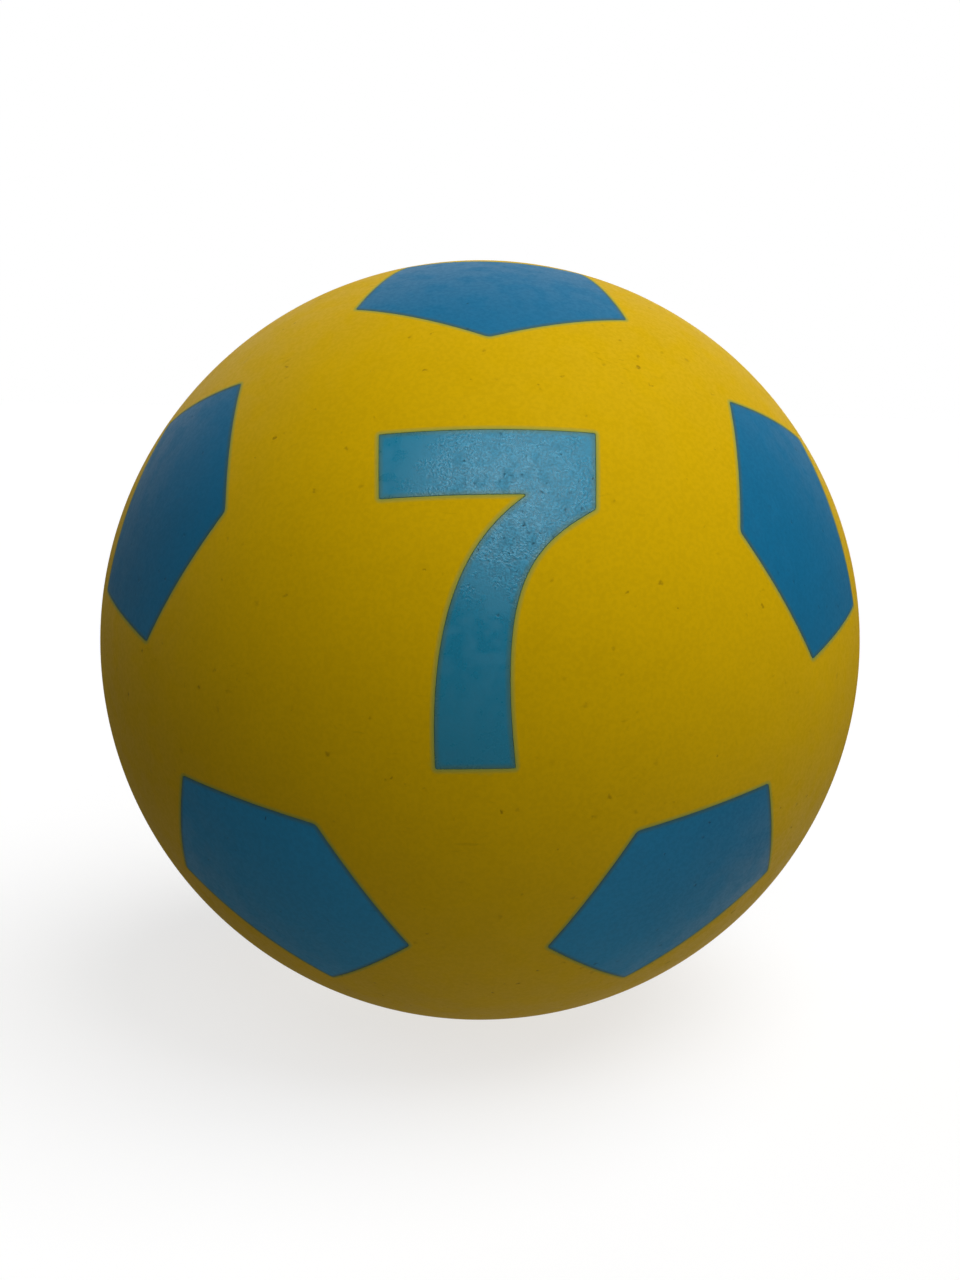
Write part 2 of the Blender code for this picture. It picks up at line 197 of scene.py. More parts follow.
class ValveSizes(bpy.types.PropertyGroup):
    neck_diameter: length("Neck", "Diameter of the neck that shows in the pole panel", 0.010)
    bore_diameter: length("Bore", "Diameter of the bore", 0.0044)
    bore_gap: length("Bore gap", "Round the neck, the plug's head and its shank", 0.0003)
    flange_diameter: length("Flange", "Diameter of the flange inside the ball", 0.018)
    flange_thickness: length("Flange thickness", "Of the flange inside the ball", 0.002)
    stem_diameter: length("Stem", "Diameter of the stem below the flange", 0.008)
    stem_length: length("Stem length", "Below the flange", 0.005)
    boss_diameter: length("Boss", "Diameter of the thick place of the wall round the valve", 0.024)
    boss_height: length("Boss height", "Inwards from the wall", 0.0035)
    boss_slope: length("Boss slope", "How much wider the boss is at the wall", 0.003)
    head_diameter: length("Plug head", "Diameter of the plug's head", 0.0064)
    head_thickness: length("Plug head thickness", "Of the plug's head", 0.0012)
    dome: length("Dome", "Crown of the plug's head", 0.00025)
    taper_length: length("Taper", "Length of the plug's tapered tip", 0.0025)
    tip_diameter: length("Tip", "Diameter of the plug's tip", 0.0022)
    bead_count: IntProperty(name="Beads", description="Sealing beads on the shank", default=2, min=0)
    bead_height: length("Bead height", "Out from the shank", 0.00015)
    bead_spacing: length("Bead spacing", "From one bead to the next", 0.003)
    bead_width: length("Bead width", "Along the shank", 0.0012)
    notch_diameter: length("Nail notch", "Diameter of the scoop beside the head", 0.0022)
    edge: length("Edge", "Rounding of the valve's and the plug's edges", 0.0002)


class FinishColours(bpy.types.PropertyGroup):
    skin: colour("Skin", "Yellow of the ball's wall", (0.62, 0.385, 0.0008))
    panel: colour("Panel", "Deep blue of the panels", (0.0043, 0.141, 0.286))
    number: colour("Number", "Teal blue of the number", (0.007, 0.214, 0.360))
    valve: colour("Valve", "Dark grey of the valve and its plug", (0.060, 0.060, 0.062))
    # Painted shade: darker colours at the edges of the inlays, along the hairline between inlay and skin
    skin_edge_shade: colour("Skin edge shade", "Skin at the very edge of an inlay", (0.28, 0.32, 0.060))
    panel_edge_shade: colour("Panel edge shade", "Panel at its very edge", (0.070, 0.100, 0.002))
    number_edge_shade: colour("Number edge shade", "Number at its very edge", (0.095, 0.137, 0.002))
    skin_speck: colour("Skin speck", "Pinholes in the skin", (0.120, 0.055, 0.003))
    inlay_speck: colour("Inlay speck", "Pinholes in the panels and the number", (0.004, 0.030, 0.050))
    valve_speck: colour("Valve speck", "Dust in the valve's pinholes", (0.060, 0.045, 0.025))


class StageSettings(bpy.types.PropertyGroup):
    camera_distance: length("Camera distance", "From the ball's centre", 0.356)
    camera_height: angle("Camera height", "Elevation of the camera over the ball's centre", radians(9.4))
    camera_roll: angle("Camera roll", "Anticlockwise, seen from behind the camera", radians(1.08))
    lens: FloatProperty(
        name="Lens", description="Focal length of the camera", default=41.37, min=1.0, unit="CAMERA"
    )
    window_direction: direction("Window direction", "Towards the high window", (0.11, -0.62, 0.777))
    window_level: amount("Window level", "Light on a face turned to it, 1 shows a colour as written", 0.28)
    window_size: angle("Window size", "Across the window, seen from the ball", radians(45))
    top_direction: direction("Top direction", "Towards the light overhead", (0.41, -0.12, 0.905))
    top_level: amount("Top level", "Light overhead on a face turned to it", 0.78)
    top_size: angle("Top size", "Across the light overhead, seen from the ball", radians(50))
    fill_direction: direction("Fill direction", "Towards the light in front", (0.68, -0.71, 0.15))
    fill_level: amount("Fill level", "Light from in front on a face turned to it", 0.135)
    fill_size: angle("Fill size", "Across the light in front, seen from the ball", radians(60))
    rim_direction: direction("Rim direction", "Towards the light behind the left side", (-0.65, 0.72, 0.2))
    rim_level: amount("Rim level", "Light from behind the left side on a face turned to it", 0.3)
    rim_size: angle("Rim size", "Across the light behind the left side, seen from the ball", radians(50))
    rear_direction: direction("Rear direction", "Towards the light behind", (0.28, 0.955, 0.05))
    rear_level: amount("Rear level", "Light from behind on a face turned to it", 0.45)
    rear_size: angle("Rear size", "Across the light behind, seen from the ball", radians(30))
    ambient: amount("Ambient", "Light from all round", 0.03)
    front_sheen: amount("Front sheen", "How bright the rest of the room is in the ball's gloss", 0.03)
    back_sheen: amount("Back sheen", "How bright the room behind is in the ball's gloss", 0.6)
    floor_sheen: amount("Floor sheen", "How bright the floor in front is in the ball's gloss", 0.12)
    floor_size: length("Floor size", "Across the floor", 30.0)
    left_bounce: amount("Left bounce", "Light that the floor on the left throws back on the ball", 0.195)
    right_bounce: amount("Right bounce", "Light that the floor on the right throws back on the ball", 0.42)
    far_bounce: amount("Far bounce", "Light that the floor further away throws back on the ball", 0.14)
    bounce: colour("Bounce", "Tint of what the floor throws back on the ball", (1.0, 0.98, 0.86))
    floor_shade: amount("Floor shade", "Share of the floor's white that a shadow can take away", 0.3)


class PlayBallSettings(bpy.types.PropertyGroup):
    ball: PointerProperty(type=BallSizes, name="Ball", description="Sizes of the ball's wall")
    pattern: PointerProperty(type=PatternSizes, name="Pattern", description="Sizes of the panels")
    number: PointerProperty(type=NumberSizes, name="Number", description="Sizes of the number")
    valve: PointerProperty(type=ValveSizes, name="Valve", description="Sizes of the valve and its plug")
    finish: PointerProperty(type=FinishColours, name="Finish", description="Colours of the finishes")
    stage: PointerProperty(type=StageSettings, name="Stage", description="Camera, light and floor")


# Flat drawings, anticlockwise

def circle(radius, count):
    return [Vector((cos(tau * i / count), sin(tau * i / count))) * radius for i in range(count)]


def turned_by(outline, turn):
    return [Matrix.Rotation(turn, 2) @ point for point in outline]


def evened(outline, step):
    """The closed outline with its points an even step apart."""
    ends = outline[1:] + outline[:1]
    lengths = [(end - start).length for start, end in zip(outline, ends)]
    count = ceil(sum(lengths) / step)
    spacing = sum(lengths) / count
    points = []
    side, passed = 0, 0.0
    for number in range(count):
        while passed + lengths[side] < number * spacing:
            passed += lengths[side]
            side += 1
        share = (number * spacing - passed) / lengths[side]
        points.append(outline[side].lerp(ends[side], share))
    return points


def softened(outline, reach, step):
    """An even outline with its corners rounded: each point becomes the mean of its neighbours."""
    span = max(1, round(reach / step / (2 * SOFTENING_ROUNDS)))
    for _ in range(SOFTENING_ROUNDS):
        count = len(outline)
        outline = [
            sum((outline[(i + j) % count] for j in range(-span, span + 1)), Vector((0, 0))) / (2 * span + 1)
            for i in range(count)
        ]
    return outline


def thinned(outline):
    """The outline without the points that its shape doesn't need."""
    kept = [outline[0]]
    for point, after in zip(outline[1:], outline[2:] + outline[:1]):
        back = point - kept[-1]
        if back.length > LONGEST_SIDE or back.angle(after - point) > LEAST_BEND:
            kept.append(point)
    return kept


def grown(outline, gap):
    """The outline moved outwards all round, or inwards by a negative gap."""
    moved = []
    for before, point, after in zip(outline[-1:] + outline[:-1], outline, outline[1:] + outline[:1]):
        here = (point - before).normalized()
        there = (after - point).normalized()
        out_here = Vector((here.y, -here.x))
        out_there = Vector((there.y, -there.x))
        moved.append(point + (out_here + out_there) * gap / (1 + out_here.dot(out_there)))
    return moved


def pocket_outline(settings, corners, reach):
    """Where the skin starts to bend down round an inlay, with rounded corners, from the inlay's corners.

    Its points are close only where it bends. The other rows of the pocket and the inlay lie inside it.
    """
    wide = grown(corners, settings.ball.guard + settings.ball.lip + settings.ball.line_gap)
    return thinned(softened(evened(wide, OUTLINE_STEP), reach, OUTLINE_STEP))


def panel_outline(settings, scale):
    """A wide pentagon on the ring, with its tip towards the pole, scaled about its middle."""
    pattern = settings.pattern
    ring = settings.ball.diameter / 2 * pattern.ring_angle
    base = ring + pattern.side_length
    corners = [
        Vector((0, ring - pattern.tip_length)),
        Vector((pattern.width / 2, ring)),
        Vector((pattern.base_width / 2, base)),
        Vector((-pattern.base_width / 2, base)),
        Vector((-pattern.width / 2, ring)),
    ]
    middle = Vector((0, ring + (pattern.side_length - pattern.tip_length) / 2))
    return pocket_outline(settings, [middle.lerp(corner, scale) for corner in corners], pattern.corner)


def pole_panel_outline(settings):
    """A regular pentagon round the rear pole, with its corners towards the ring's tips."""
    corners = circle(settings.pattern.pole_radius, len(REAR_RING))
    return pocket_outline(settings, turned_by(corners, pi / 2), settings.pattern.corner)


def number_outline(settings):
    """A plain 7: a straight bar, and a stem between two curves."""
    size = settings.number
    left, right = -size.width / 2, size.width / 2
    top, foot = size.height / 2, -size.height / 2
    notch = Vector((left + size.bar_underside, top - size.bar_height + size.underside_rise))
    bar_left = Vector((left + size.left_lean, top - size.bar_height))
    bar_end = Vector((right - size.right_lean, top - size.bar_end_height))
    foot_left = Vector((left + size.foot_inset, foot))
    foot_right = Vector((left + size.foot_inset + size.foot_width, foot))
    inner = interpolate_bezier(
        notch, notch + Vector(size.inner_top_pull),
        foot_left + Vector(size.inner_foot_pull), foot_left, CURVE_POINTS,
    )
    outer = interpolate_bezier(
        foot_right, foot_right + Vector(size.outer_foot_pull),
        bar_end + Vector(size.outer_top_pull), bar_end, CURVE_POINTS,
    )
    stem = [point.to_2d() for point in inner + outer]
    corners = [Vector((left, top)), bar_left, *stem, Vector((right, top))]
    shift = Vector((size.shift, -size.drop))
    return pocket_outline(settings, [point + shift for point in turned_by(corners, size.turn)], size.corner)


# Drawings with height

class Relief:
    """A closed shape over a flat drawing: x and y lie on the drawing, z is the height over the ball."""

    def __init__(self):
        self.points = []
        self.rims = []
        self.faces = []

    def point(self, place, height, rim=0.0):
        """Adds a point, and gives its number. Its rim is 1 at the edge of an inlay, and 0 away from it."""
        self.points.append((place.x, place.y, height))
        self.rims.append(rim)
        return len(self.points) - 1

    def ring(self, outline, height, rim=0.0):
        """Adds a closed row of points, and gives their numbers."""
        return [self.point(place, height, rim) for place in outline]

    def rings(self, outline, section):
        """Adds a row for each (gap, height) of a section, joined in order, and gives the first and last."""
        rows = [self.ring(grown(outline, gap), height, 1.0) for gap, height in section]
        self.join(rows)
        return rows[0], rows[-1]

    def join(self, rows):
        for row, other in zip(rows, rows[1:]):
            self.faces += zip(row, row[1:] + row[:1], other[1:] + other[:1], other)

    def places(self, row):
        """Where the points of a row lie on the drawing."""
        return [Vector(self.points[number][:2]) for number in row]

    def shaded_edges(self, row, outwards, edge_shade, edge):
        """Places beside a row, with the rim of the painted edge shade that fades over them. They keep off
        the other rows.
        """
        faded = []
        for step in range(1, EDGE_SHADE_STEPS + 1):
            gap = edge_shade * step / EDGE_SHADE_STEPS
            rim = 1.0 - step / EDGE_SHADE_STEPS
            for place in grown(self.places(row), gap if outwards else -gap):
                if edge.find(place.to_3d())[2] > EDGE_SHADE_CLEARANCE * gap:
                    faded.append((place, rim))
        return faded

    def fill(self, outer, holes, pitch, shaded_edges=(), edge_shade=0.0):
        """Closes the area inside a row, apart from its holes, with triangles of an even size.

        Beside the rows with painted edge shade, closer points carry the rim's fade.
        """
        rows = [outer, *holes]
        numbers = [number for row in rows for number in row]
        flat = self.places(numbers)
        height = self.points[outer[0]][2]
        edge = finder(flat)
        inside = []
        for row in shaded_edges:
            inside += self.shaded_edges(row, row is not outer, edge_shade, edge)
        taken = finder(flat + [place for place, _ in inside])
        for place in triangle_grid(flat, pitch):
            if taken.find(place.to_3d())[2] > GRID_CLEARANCE * pitch:
                inside.append((place, 0.0))
        areas = []
        first = 0
        for row in rows:
            areas.append(list(range(first, first + len(row))))
            first += len(row)
        places = flat + [place for place, _ in inside]
        rims = [0.0] * len(flat) + [rim for _, rim in inside]
        points, _, triangles, sources, _, owners = delaunay_2d_cdt(places, [], areas, 0, SAME_PLACE)
        numbers += [None] * len(inside)
        for triangle, owner in zip(triangles, owners):
            if owner != [0]:
                continue
            face = []
            for corner in triangle:
                source = sources[corner][0]
                if numbers[source] is None:
                    numbers[source] = self.point(points[corner], height, rims[source])
                face.append(numbers[source])
            self.faces.append(face)

    def mesh(self, name):
        """A smooth mesh of the shape, still flat, with its faces pointing out."""
        bm = bmesh.new()
        layer = bm.verts.layers.float.new("rim")
        verts = [bm.verts.new(point) for point in self.points]
        for vert, rim in zip(verts, self.rims):
            vert[layer] = rim
        for face in self.faces:
            bm.faces.new([verts[number] for number in face])
        return mesh_from(name, bm)


def finder(flat):
    """Looks up how far a place is from the nearest of some points."""
    tree = KDTree(len(flat))
    for index, point in enumerate(flat):
        tree.insert(point.to_3d(), index)
    tree.balance()
    return tree


def triangle_grid(flat, pitch):
    """Points of an even triangular grid over the box of a drawing."""
    low = Vector((min(point.x for point in flat), min(point.y for point in flat)))
    high = Vector((max(point.x for point in flat), max(point.y for point in flat)))
    rise = pitch * sqrt(3) / 2
    points = []
    for row in range(int((high.y - low.y) / rise) + 1):
        start = low.x + (row % 2) * pitch / 2
        count = int((high.x - start) / pitch) + 1
        points += [Vector((start + column * pitch, low.y + row * rise)) for column in range(count)]
    return points


def mesh_from(name, bm):
    """A smooth-shaded mesh from a closed bmesh, with its faces pointing out."""
    bmesh.ops.recalc_face_normals(bm, faces=bm.faces)
    mesh = bpy.data.meshes.new(name)
    bm.to_mesh(mesh)
    bm.free()
    mesh.shade_smooth()
    mesh.set_sharp_from_angle(angle=SHARP_ANGLE)
    return mesh


def rounded_edge(guard, radius):
    """(run, height) of a rounded edge, from where it starts on the surface down to its side."""
    section = [(0.0, 0.0)]
    for step in range(LIP_STEPS + 1):
        bend = pi / 2 * step / LIP_STEPS
        section.append((guard + radius * sin(bend), radius * (cos(bend) - 1)))
    return section


def inlay_relief(settings, outline, hole_radius=None):
    """A thin inlay with rounded edges inside its pocket's outline, and a round hole if it has one."""
    ball = settings.ball
    side = -ball.guard - ball.lip - ball.line_gap
    edge = rounded_edge(ball.guard, settings.pattern.edge)
    reach = edge[-1][0]
    bottom_height = -settings.pattern.thickness
    relief = Relief()
    section = [(side - reach + run, height) for run, height in edge]
    top, bottom = relief.rings(outline, [*section, (side, bottom_height)])
    top_holes, bottom_holes = [], []
    if hole_radius:
        places = [(hole_radius + reach - run, height) for run, height in edge]
        hole_top, hole_bottom = add_circles(relief, [*places, (hole_radius, bottom_height)], VALVE_POINTS)
        top_holes, bottom_holes = [hole_top], [hole_bottom]
    relief.fill(top, top_holes, SKIN_PITCH, [top], settings.pattern.edge_shade)
    relief.fill(bottom, bottom_holes, HIDDEN_PITCH)
    return relief


def add_pocket(relief, settings, outline):
    """Adds the rounded edge and the side of an inlay's pocket, and gives its top and bottom rows."""
    floor = -settings.pattern.thickness - settings.ball.seat_gap
    section = [(-run, height) for run, height in rounded_edge(settings.ball.guard, settings.ball.lip)]
    return relief.rings(outline, [*section, (section[-1][0], floor)])


def drawn(reach, height, radius):
    """Place on the drawing, and height over the ball, of a point given by its distance from the axis."""
    return radius * atan2(reach, height), hypot(reach, height) - radius


def add_circles(relief, places, count):
    """Adds a round row for each (place, height), joined in order, and gives the first and last."""
    rows = [relief.ring(circle(place, count), height) for place, height in places]
    relief.join(rows)
    return rows[0], rows[-1]


def add_pockets(relief, settings, outlines):
    """Adds pockets with closed floors, and gives their top rows."""
    tops = []
    for outline in outlines:
        top, bottom = add_pocket(relief, settings, outline)
        relief.fill(bottom, [], HIDDEN_PITCH)
        tops.append(top)
    return tops


def add_seam(relief, ball, lap_radius, lap_end):
    """Adds a half's edge: a rounded lip, the face of the seam, and the lap down to the inner wall.

    The lap ends at a height over the seam. Gives the edge of the skin and that of the inner wall.
    """
    radius = ball.diameter / 2
    inner = radius - ball.wall
    lip = rounded_edge(ball.guard, ball.seam_lip)
    start = radius * pi / 2 - ball.seam_gap / 2 - lip[-1][0]
    places = [
        *((start + run, height) for run, height in lip),
        (start + lip[-1][0], lap_radius - radius),
        drawn(sqrt(lap_radius**2 - lap_end**2), lap_end, radius),
        drawn(sqrt(inner**2 - lap_end**2), lap_end, radius),
    ]
    return add_circles(relief, places, SEAM_POINTS)


def front_relief(settings):
    """The front half: pockets for the ring and the number, and a tongue that reaches into the rear half."""
    ball = settings.ball
    relief = Relief()
    tongue = ball.diameter / 2 - ball.wall / 2 - ball.seat_gap / 2
    skin_edge, wall_edge = add_seam(relief, ball, tongue, -ball.lap_length)
    holes = add_pockets(relief, settings, ring_outlines(settings, FRONT_RING) + [number_outline(settings)])
    relief.fill(skin_edge, holes, SKIN_PITCH, holes, settings.pattern.edge_shade)
    relief.fill(wall_edge, [], HIDDEN_PITCH)
    return relief


def rear_relief(settings):
    """The rear half: pockets for six panels, a rebate for the tongue, and a boss with the valve's hole."""
    ball, valve = settings.ball, settings.valve
    radius = ball.diameter / 2
    inner = radius - ball.wall
    relief = Relief()
    rebate = radius - ball.wall / 2 + ball.seat_gap / 2
    skin_edge, wall_edge = add_seam(relief, ball, rebate, ball.lap_length + ball.seat_gap)
    holes = add_pockets(relief, settings, ring_outlines(settings, REAR_RING))
    pole_top, pole_floor = add_pocket(relief, settings, pole_panel_outline(settings))
    holes.append(pole_top)
    neck = valve.neck_diameter / 2 + valve.bore_gap
    boss = valve.boss_diameter / 2
    boss_base = boss + valve.boss_slope
    boss_face = inner - valve.boss_height
    floor_radius = radius - settings.pattern.thickness - ball.seat_gap
    places = [
        drawn(boss_base, sqrt(inner**2 - boss_base**2), radius),
        drawn(boss, boss_face, radius),
        drawn(neck, boss_face, radius),
        drawn(neck, sqrt(floor_radius**2 - neck**2), radius),
    ]
    boss_edge, hole_edge = add_circles(relief, places, VALVE_POINTS)
    relief.fill(pole_floor, [hole_edge], HIDDEN_PITCH)
    relief.fill(skin_edge, holes, SKIN_PITCH, holes, settings.pattern.edge_shade)
    relief.fill(wall_edge, [boss_edge], HIDDEN_PITCH)
    return relief


def panel_turn(pattern, radius, number, nudges):
    """Turn about the ball's centre that brings a panel to its place on the ring, and nudges it."""
    away, along, spin = (radians(degrees) for degrees in nudges[number][:3])
    middle = pattern.ring_angle + (pattern.side_length - pattern.tip_length) / 2 / radius
    to_pole = Matrix.Rotation(middle, 3, "X")
    about_middle = to_pole.inverted() @ Matrix.Rotation(spin, 3, "Z") @ to_pole
    bearing = tau * number / len(nudges) + along
    return Matrix.Rotation(bearing, 3, "Z") @ Matrix.Rotation(-away, 3, "X") @ about_middle


def moved_on_ball(point, turn, radius):
    """Where a point of the drawing lies after a turn about the ball's centre."""
    bend = point.length / radius
    level = point.normalized() * sin(bend)
    place = turn @ Vector((level.x, level.y, cos(bend)))
    return place.to_2d().normalized() * radius * atan2(place.to_2d().length, place.z)


def ring_outlines(settings, nudges):
    """The outlines of the panels round a pole."""
    radius = settings.ball.diameter / 2
    outlines = []
    for number, (*_, scale) in enumerate(nudges):
        turn = panel_turn(settings.pattern, radius, number, nudges)
        outlines.append([moved_on_ball(point, turn, radius) for point in panel_outline(settings, scale)])
    return outlines


# Node trees

def add_node(tree, kind, inputs=None, **options):
    """A node with its options. An input takes a value, or the output socket that feeds it."""
    node = tree.nodes.new(kind)
    for name, value in options.items():
        setattr(node, name, value)
    for socket, value in (inputs or {}).items():
        if isinstance(value, bpy.types.NodeSocket):
            tree.links.new(value, node.inputs[socket])
        else:
            node.inputs[socket].default_value = value
    return node


def calculated(tree, operation, *values, clamp=False):
    """What a Math node gives."""
    inputs = dict(enumerate(values))
    return add_node(tree, "ShaderNodeMath", inputs, operation=operation, use_clamp=clamp).outputs[0]


def vector(tree, operation, *values):
    """The vector that a Vector Math node gives."""
    inputs = dict(enumerate(values))
    return add_node(tree, "ShaderNodeVectorMath", inputs, operation=operation).outputs["Vector"]


def measured(tree, operation, *values):
    """The value that a Vector Math node gives, such as a length."""
    inputs = dict(enumerate(values))
    return add_node(tree, "ShaderNodeVectorMath", inputs, operation=operation).outputs["Value"]


def scaled(tree, place, factor):
    """A vector times a value."""
    inputs = {0: place, "Scale": factor}
    return add_node(tree, "ShaderNodeVectorMath", inputs, operation="SCALE").outputs["Vector"]


def split(tree, place):
    """The parts X, Y and Z of a vector."""
    return add_node(tree, "ShaderNodeSeparateXYZ", {0: place}).outputs


def joined(tree, **parts):
    """A vector from its parts X, Y and Z."""
    return add_node(tree, "ShaderNodeCombineXYZ", parts).outputs[0]


def ramped(tree, value, start, end, low, high):
    """A value brought smoothly from one range to another."""
    inputs = {"Value": value, "From Min": start, "From Max": end, "To Min": low, "To Max": high}
    return add_node(tree, "ShaderNodeMapRange", inputs, interpolation_type="SMOOTHSTEP").outputs["Result"]


def between(tree, factor, one, other):
    """A value between two others. The node keeps its value sockets at these numbers."""
    inputs = {0: factor, 2: one, 3: other}
    return add_node(tree, "ShaderNodeMix", inputs, data_type="FLOAT").outputs[0]


def mixed(tree, factor, one, other):
    """Two colours mixed. The node keeps its colour sockets at these numbers."""
    inputs = {0: factor, 6: one, 7: other}
    return add_node(tree, "ShaderNodeMix", inputs, data_type="RGBA").outputs[2]


def toned(tree, colour, tone):
    """A colour made lighter or darker."""
    return add_node(tree, "ShaderNodeHueSaturation", {"Value": tone, "Color": colour}).outputs["Color"]


def noise(tree, place, size, **values):
    """A noise texture with bumps of about a size. Its other inputs are given by their names."""
    inputs = {"Vector": place, "Scale": calculated(tree, "DIVIDE", 1.0, size)}
    inputs |= {name.capitalize(): value for name, value in values.items()}
    return add_node(tree, "ShaderNodeTexNoise", inputs).outputs


def shared_tree(kind, name, inputs, output, draw):
    """A node group with named inputs and one output, which is drawn when it is first asked for."""
    if name in bpy.data.node_groups:
        return bpy.data.node_groups[name]
    tree = bpy.data.node_groups.new(name, kind)
    for socket, holds in inputs.items():
        tree.interface.new_socket(socket, in_out="INPUT", socket_type=f"NodeSocket{holds}")
    socket, holds = output
    tree.interface.new_socket(socket, in_out="OUTPUT", socket_type=f"NodeSocket{holds}")
    given = tree.nodes.new("NodeGroupInput").outputs
    result = tree.nodes.new("NodeGroupOutput").inputs
    tree.links.new(draw(tree, given), result[socket])
    return tree


# Laying a drawing on the ball

LAYING_INPUTS = {
    "Drawing": "Geometry",
    "Radius": "Float",
    "Centre height": "Float",
    "Pole turn": "Float",
    "Settle": "Float",
    "Wave height": "Float",
    "Wave size": "Float",
    "Finish": "Material",
}


def draw_laying(tree, given):
    """Lays a drawing with height on the ball, round a pole, and settles what would lie too low."""
    parts = split(tree, add_node(tree, "GeometryNodeInputPosition").outputs[0])
    flat = joined(tree, X=parts["X"], Y=parts["Y"])
    bend = calculated(tree, "DIVIDE", measured(tree, "LENGTH", flat), given["Radius"])
    radius = calculated(tree, "ADD", parts["Z"], given["Radius"])
    across = calculated(tree, "MULTIPLY", radius, calculated(tree, "SINE", bend))
    height = calculated(tree, "MULTIPLY", radius, calculated(tree, "COSINE", bend))
    level = scaled(tree, vector(tree, "NORMALIZE", flat), across)
    laid = vector(tree, "ADD", level, joined(tree, Z=height))
    bent = add_node(tree, "GeometryNodeSetPosition", {"Geometry": given["Drawing"], "Position": laid})

    tip = joined(tree, X=given["Pole turn"])
    tipped = add_node(tree, "GeometryNodeTransform", {"Geometry": bent.outputs[0], "Rotation": tip})

    place = add_node(tree, "GeometryNodeInputPosition").outputs[0]
    bumps = noise(tree, place, given["Wave size"], detail=1.0)["Fac"]
    swell = calculated(tree, "MULTIPLY", calculated(tree, "SUBTRACT", bumps, 0.5), given["Wave height"])
    offset = scaled(tree, vector(tree, "NORMALIZE", place), swell)
    uneven = add_node(tree, "GeometryNodeSetPosition", {"Geometry": tipped.outputs[0], "Offset": offset})

    lift = joined(tree, Z=given["Centre height"])
    lifted = add_node(tree, "GeometryNodeTransform", {"Geometry": uneven.outputs[0], "Translation": lift})
    parts = split(tree, add_node(tree, "GeometryNodeInputPosition").outputs[0])
    level = calculated(tree, "SMOOTH_MAX", parts["Z"], 0.0, given["Settle"])
    rested = joined(tree, X=parts["X"], Y=parts["Y"], Z=level)
    settled = add_node(tree, "GeometryNodeSetPosition", {"Geometry": lifted.outputs[0], "Position": rested})

    whole = add_node(tree, "GeometryNodeRealizeInstances", {"Geometry": settled.outputs[0]})
    inputs = {"Geometry": whole.outputs[0], "Material": given["Finish"]}
    return add_node(tree, "GeometryNodeSetMaterial", inputs).outputs[0]


def set_inputs(modifier, values):
    """Sets a Geometry Nodes modifier's inputs by their names."""
    for item in modifier.node_group.interface.items_tree:
        if item.item_type == "SOCKET" and item.in_out == "INPUT" and item.name in values:
            modifier[item.identifier] = values.pop(item.name)
    if values:
        raise KeyError(f"the tree has no inputs named {sorted(values)}")


def pole_turn(settings, rear):
    """Turn about X that brings +Z to a pole."""
    return pi / 2 - settings.ball.pole_tilt + (pi if rear else 0.0)


def centre_height(settings):
    return settings.ball.diameter / 2 - settings.ball.rest_depth


def link_object(name, data):
    made = bpy.data.objects.new(name, data)
    bpy.context.scene.collection.objects.link(made)
    return made


def as_plain_mesh(piece):
    """Turns what a piece's modifiers give into its own mesh."""
    graph = bpy.context.evaluated_depsgraph_get()
    mesh = bpy.data.meshes.new_from_object(piece.evaluated_get(graph), depsgraph=graph)
    old = piece.data
    piece.modifiers.clear()
    piece.data = mesh
    bpy.data.meshes.remove(old)
    mesh.name = piece.name
    if not mesh.polygons:
        raise RuntimeError(f"{piece.name} came out empty")
    return piece


def laid_piece(settings, name, relief, finish, rear=False):
    """A piece of the ball from its drawing."""
    ball = settings.ball
    piece = link_object(name, relief.mesh(name))
    modifier = piece.modifiers.new("Lay on the ball", "NODES")
    modifier.node_group = shared_tree(
        "GeometryNodeTree", "Lay on the ball", LAYING_INPUTS, ("Piece", "Geometry"), draw_laying
    )
    set_inputs(modifier, {
        "Radius": ball.diameter / 2,
        "Centre height": centre_height(settings),
        "Pole turn": pole_turn(settings, rear),
        "Settle": ball.settle,
        "Wave height": ball.wave_height,
        "Wave size": ball.wave_size,
        "Finish": finish,
    })
    return as_plain_mesh(piece)


def stands_for(piece, node, body):
    """Tells the frame what a finished piece is."""
    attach(piece, body)
    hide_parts(node)


# Finishes

# Noise at which each effect starts to show, and at which it shows in full
GRAIN_RANGE = (0.3, 0.7)
BLOTCH_RANGE = (0.42, 0.66)
SCUFF_RANGE = (0.60, 0.72)
PATCH_FADE = 0.12  # from where a patch of scuffs starts

# What makes a pinhole's edge uneven, as shares of its radius
RUFFLE_SIZE = 1.25
RUFFLE_REACH = 2.0

LEAST_PINHOLE = 0.4  # share of the largest one's radius
PINHOLE_FLOOR = 0.2  # share of a pinhole's radius that is at its full depth
SCUFF_STRETCH = (0.12, 1.0, 1.0)  # which draws a scuff out along its direction
SCUFF_SHARE = 0.06  # size of a scuff, as a share of the patch that holds it
PLAIN_SHARE = 0.1  # of the grain and the pinholes, with their painted speckle, that is left outside the coarse patch

# Where the number is coarsest, on its bar, with the most painted speckle of its highlight in its colour,
# and how far from there it starts to be plain and is plain
COARSE_AND_PAINTED_PLACE = (0.008, -0.0793, 0.1277)
COARSE_AND_PAINTED_RANGE = (0.015, 0.028)


def object_place(tree):
    return add_node(tree, "ShaderNodeTexCoord").outputs["Object"]


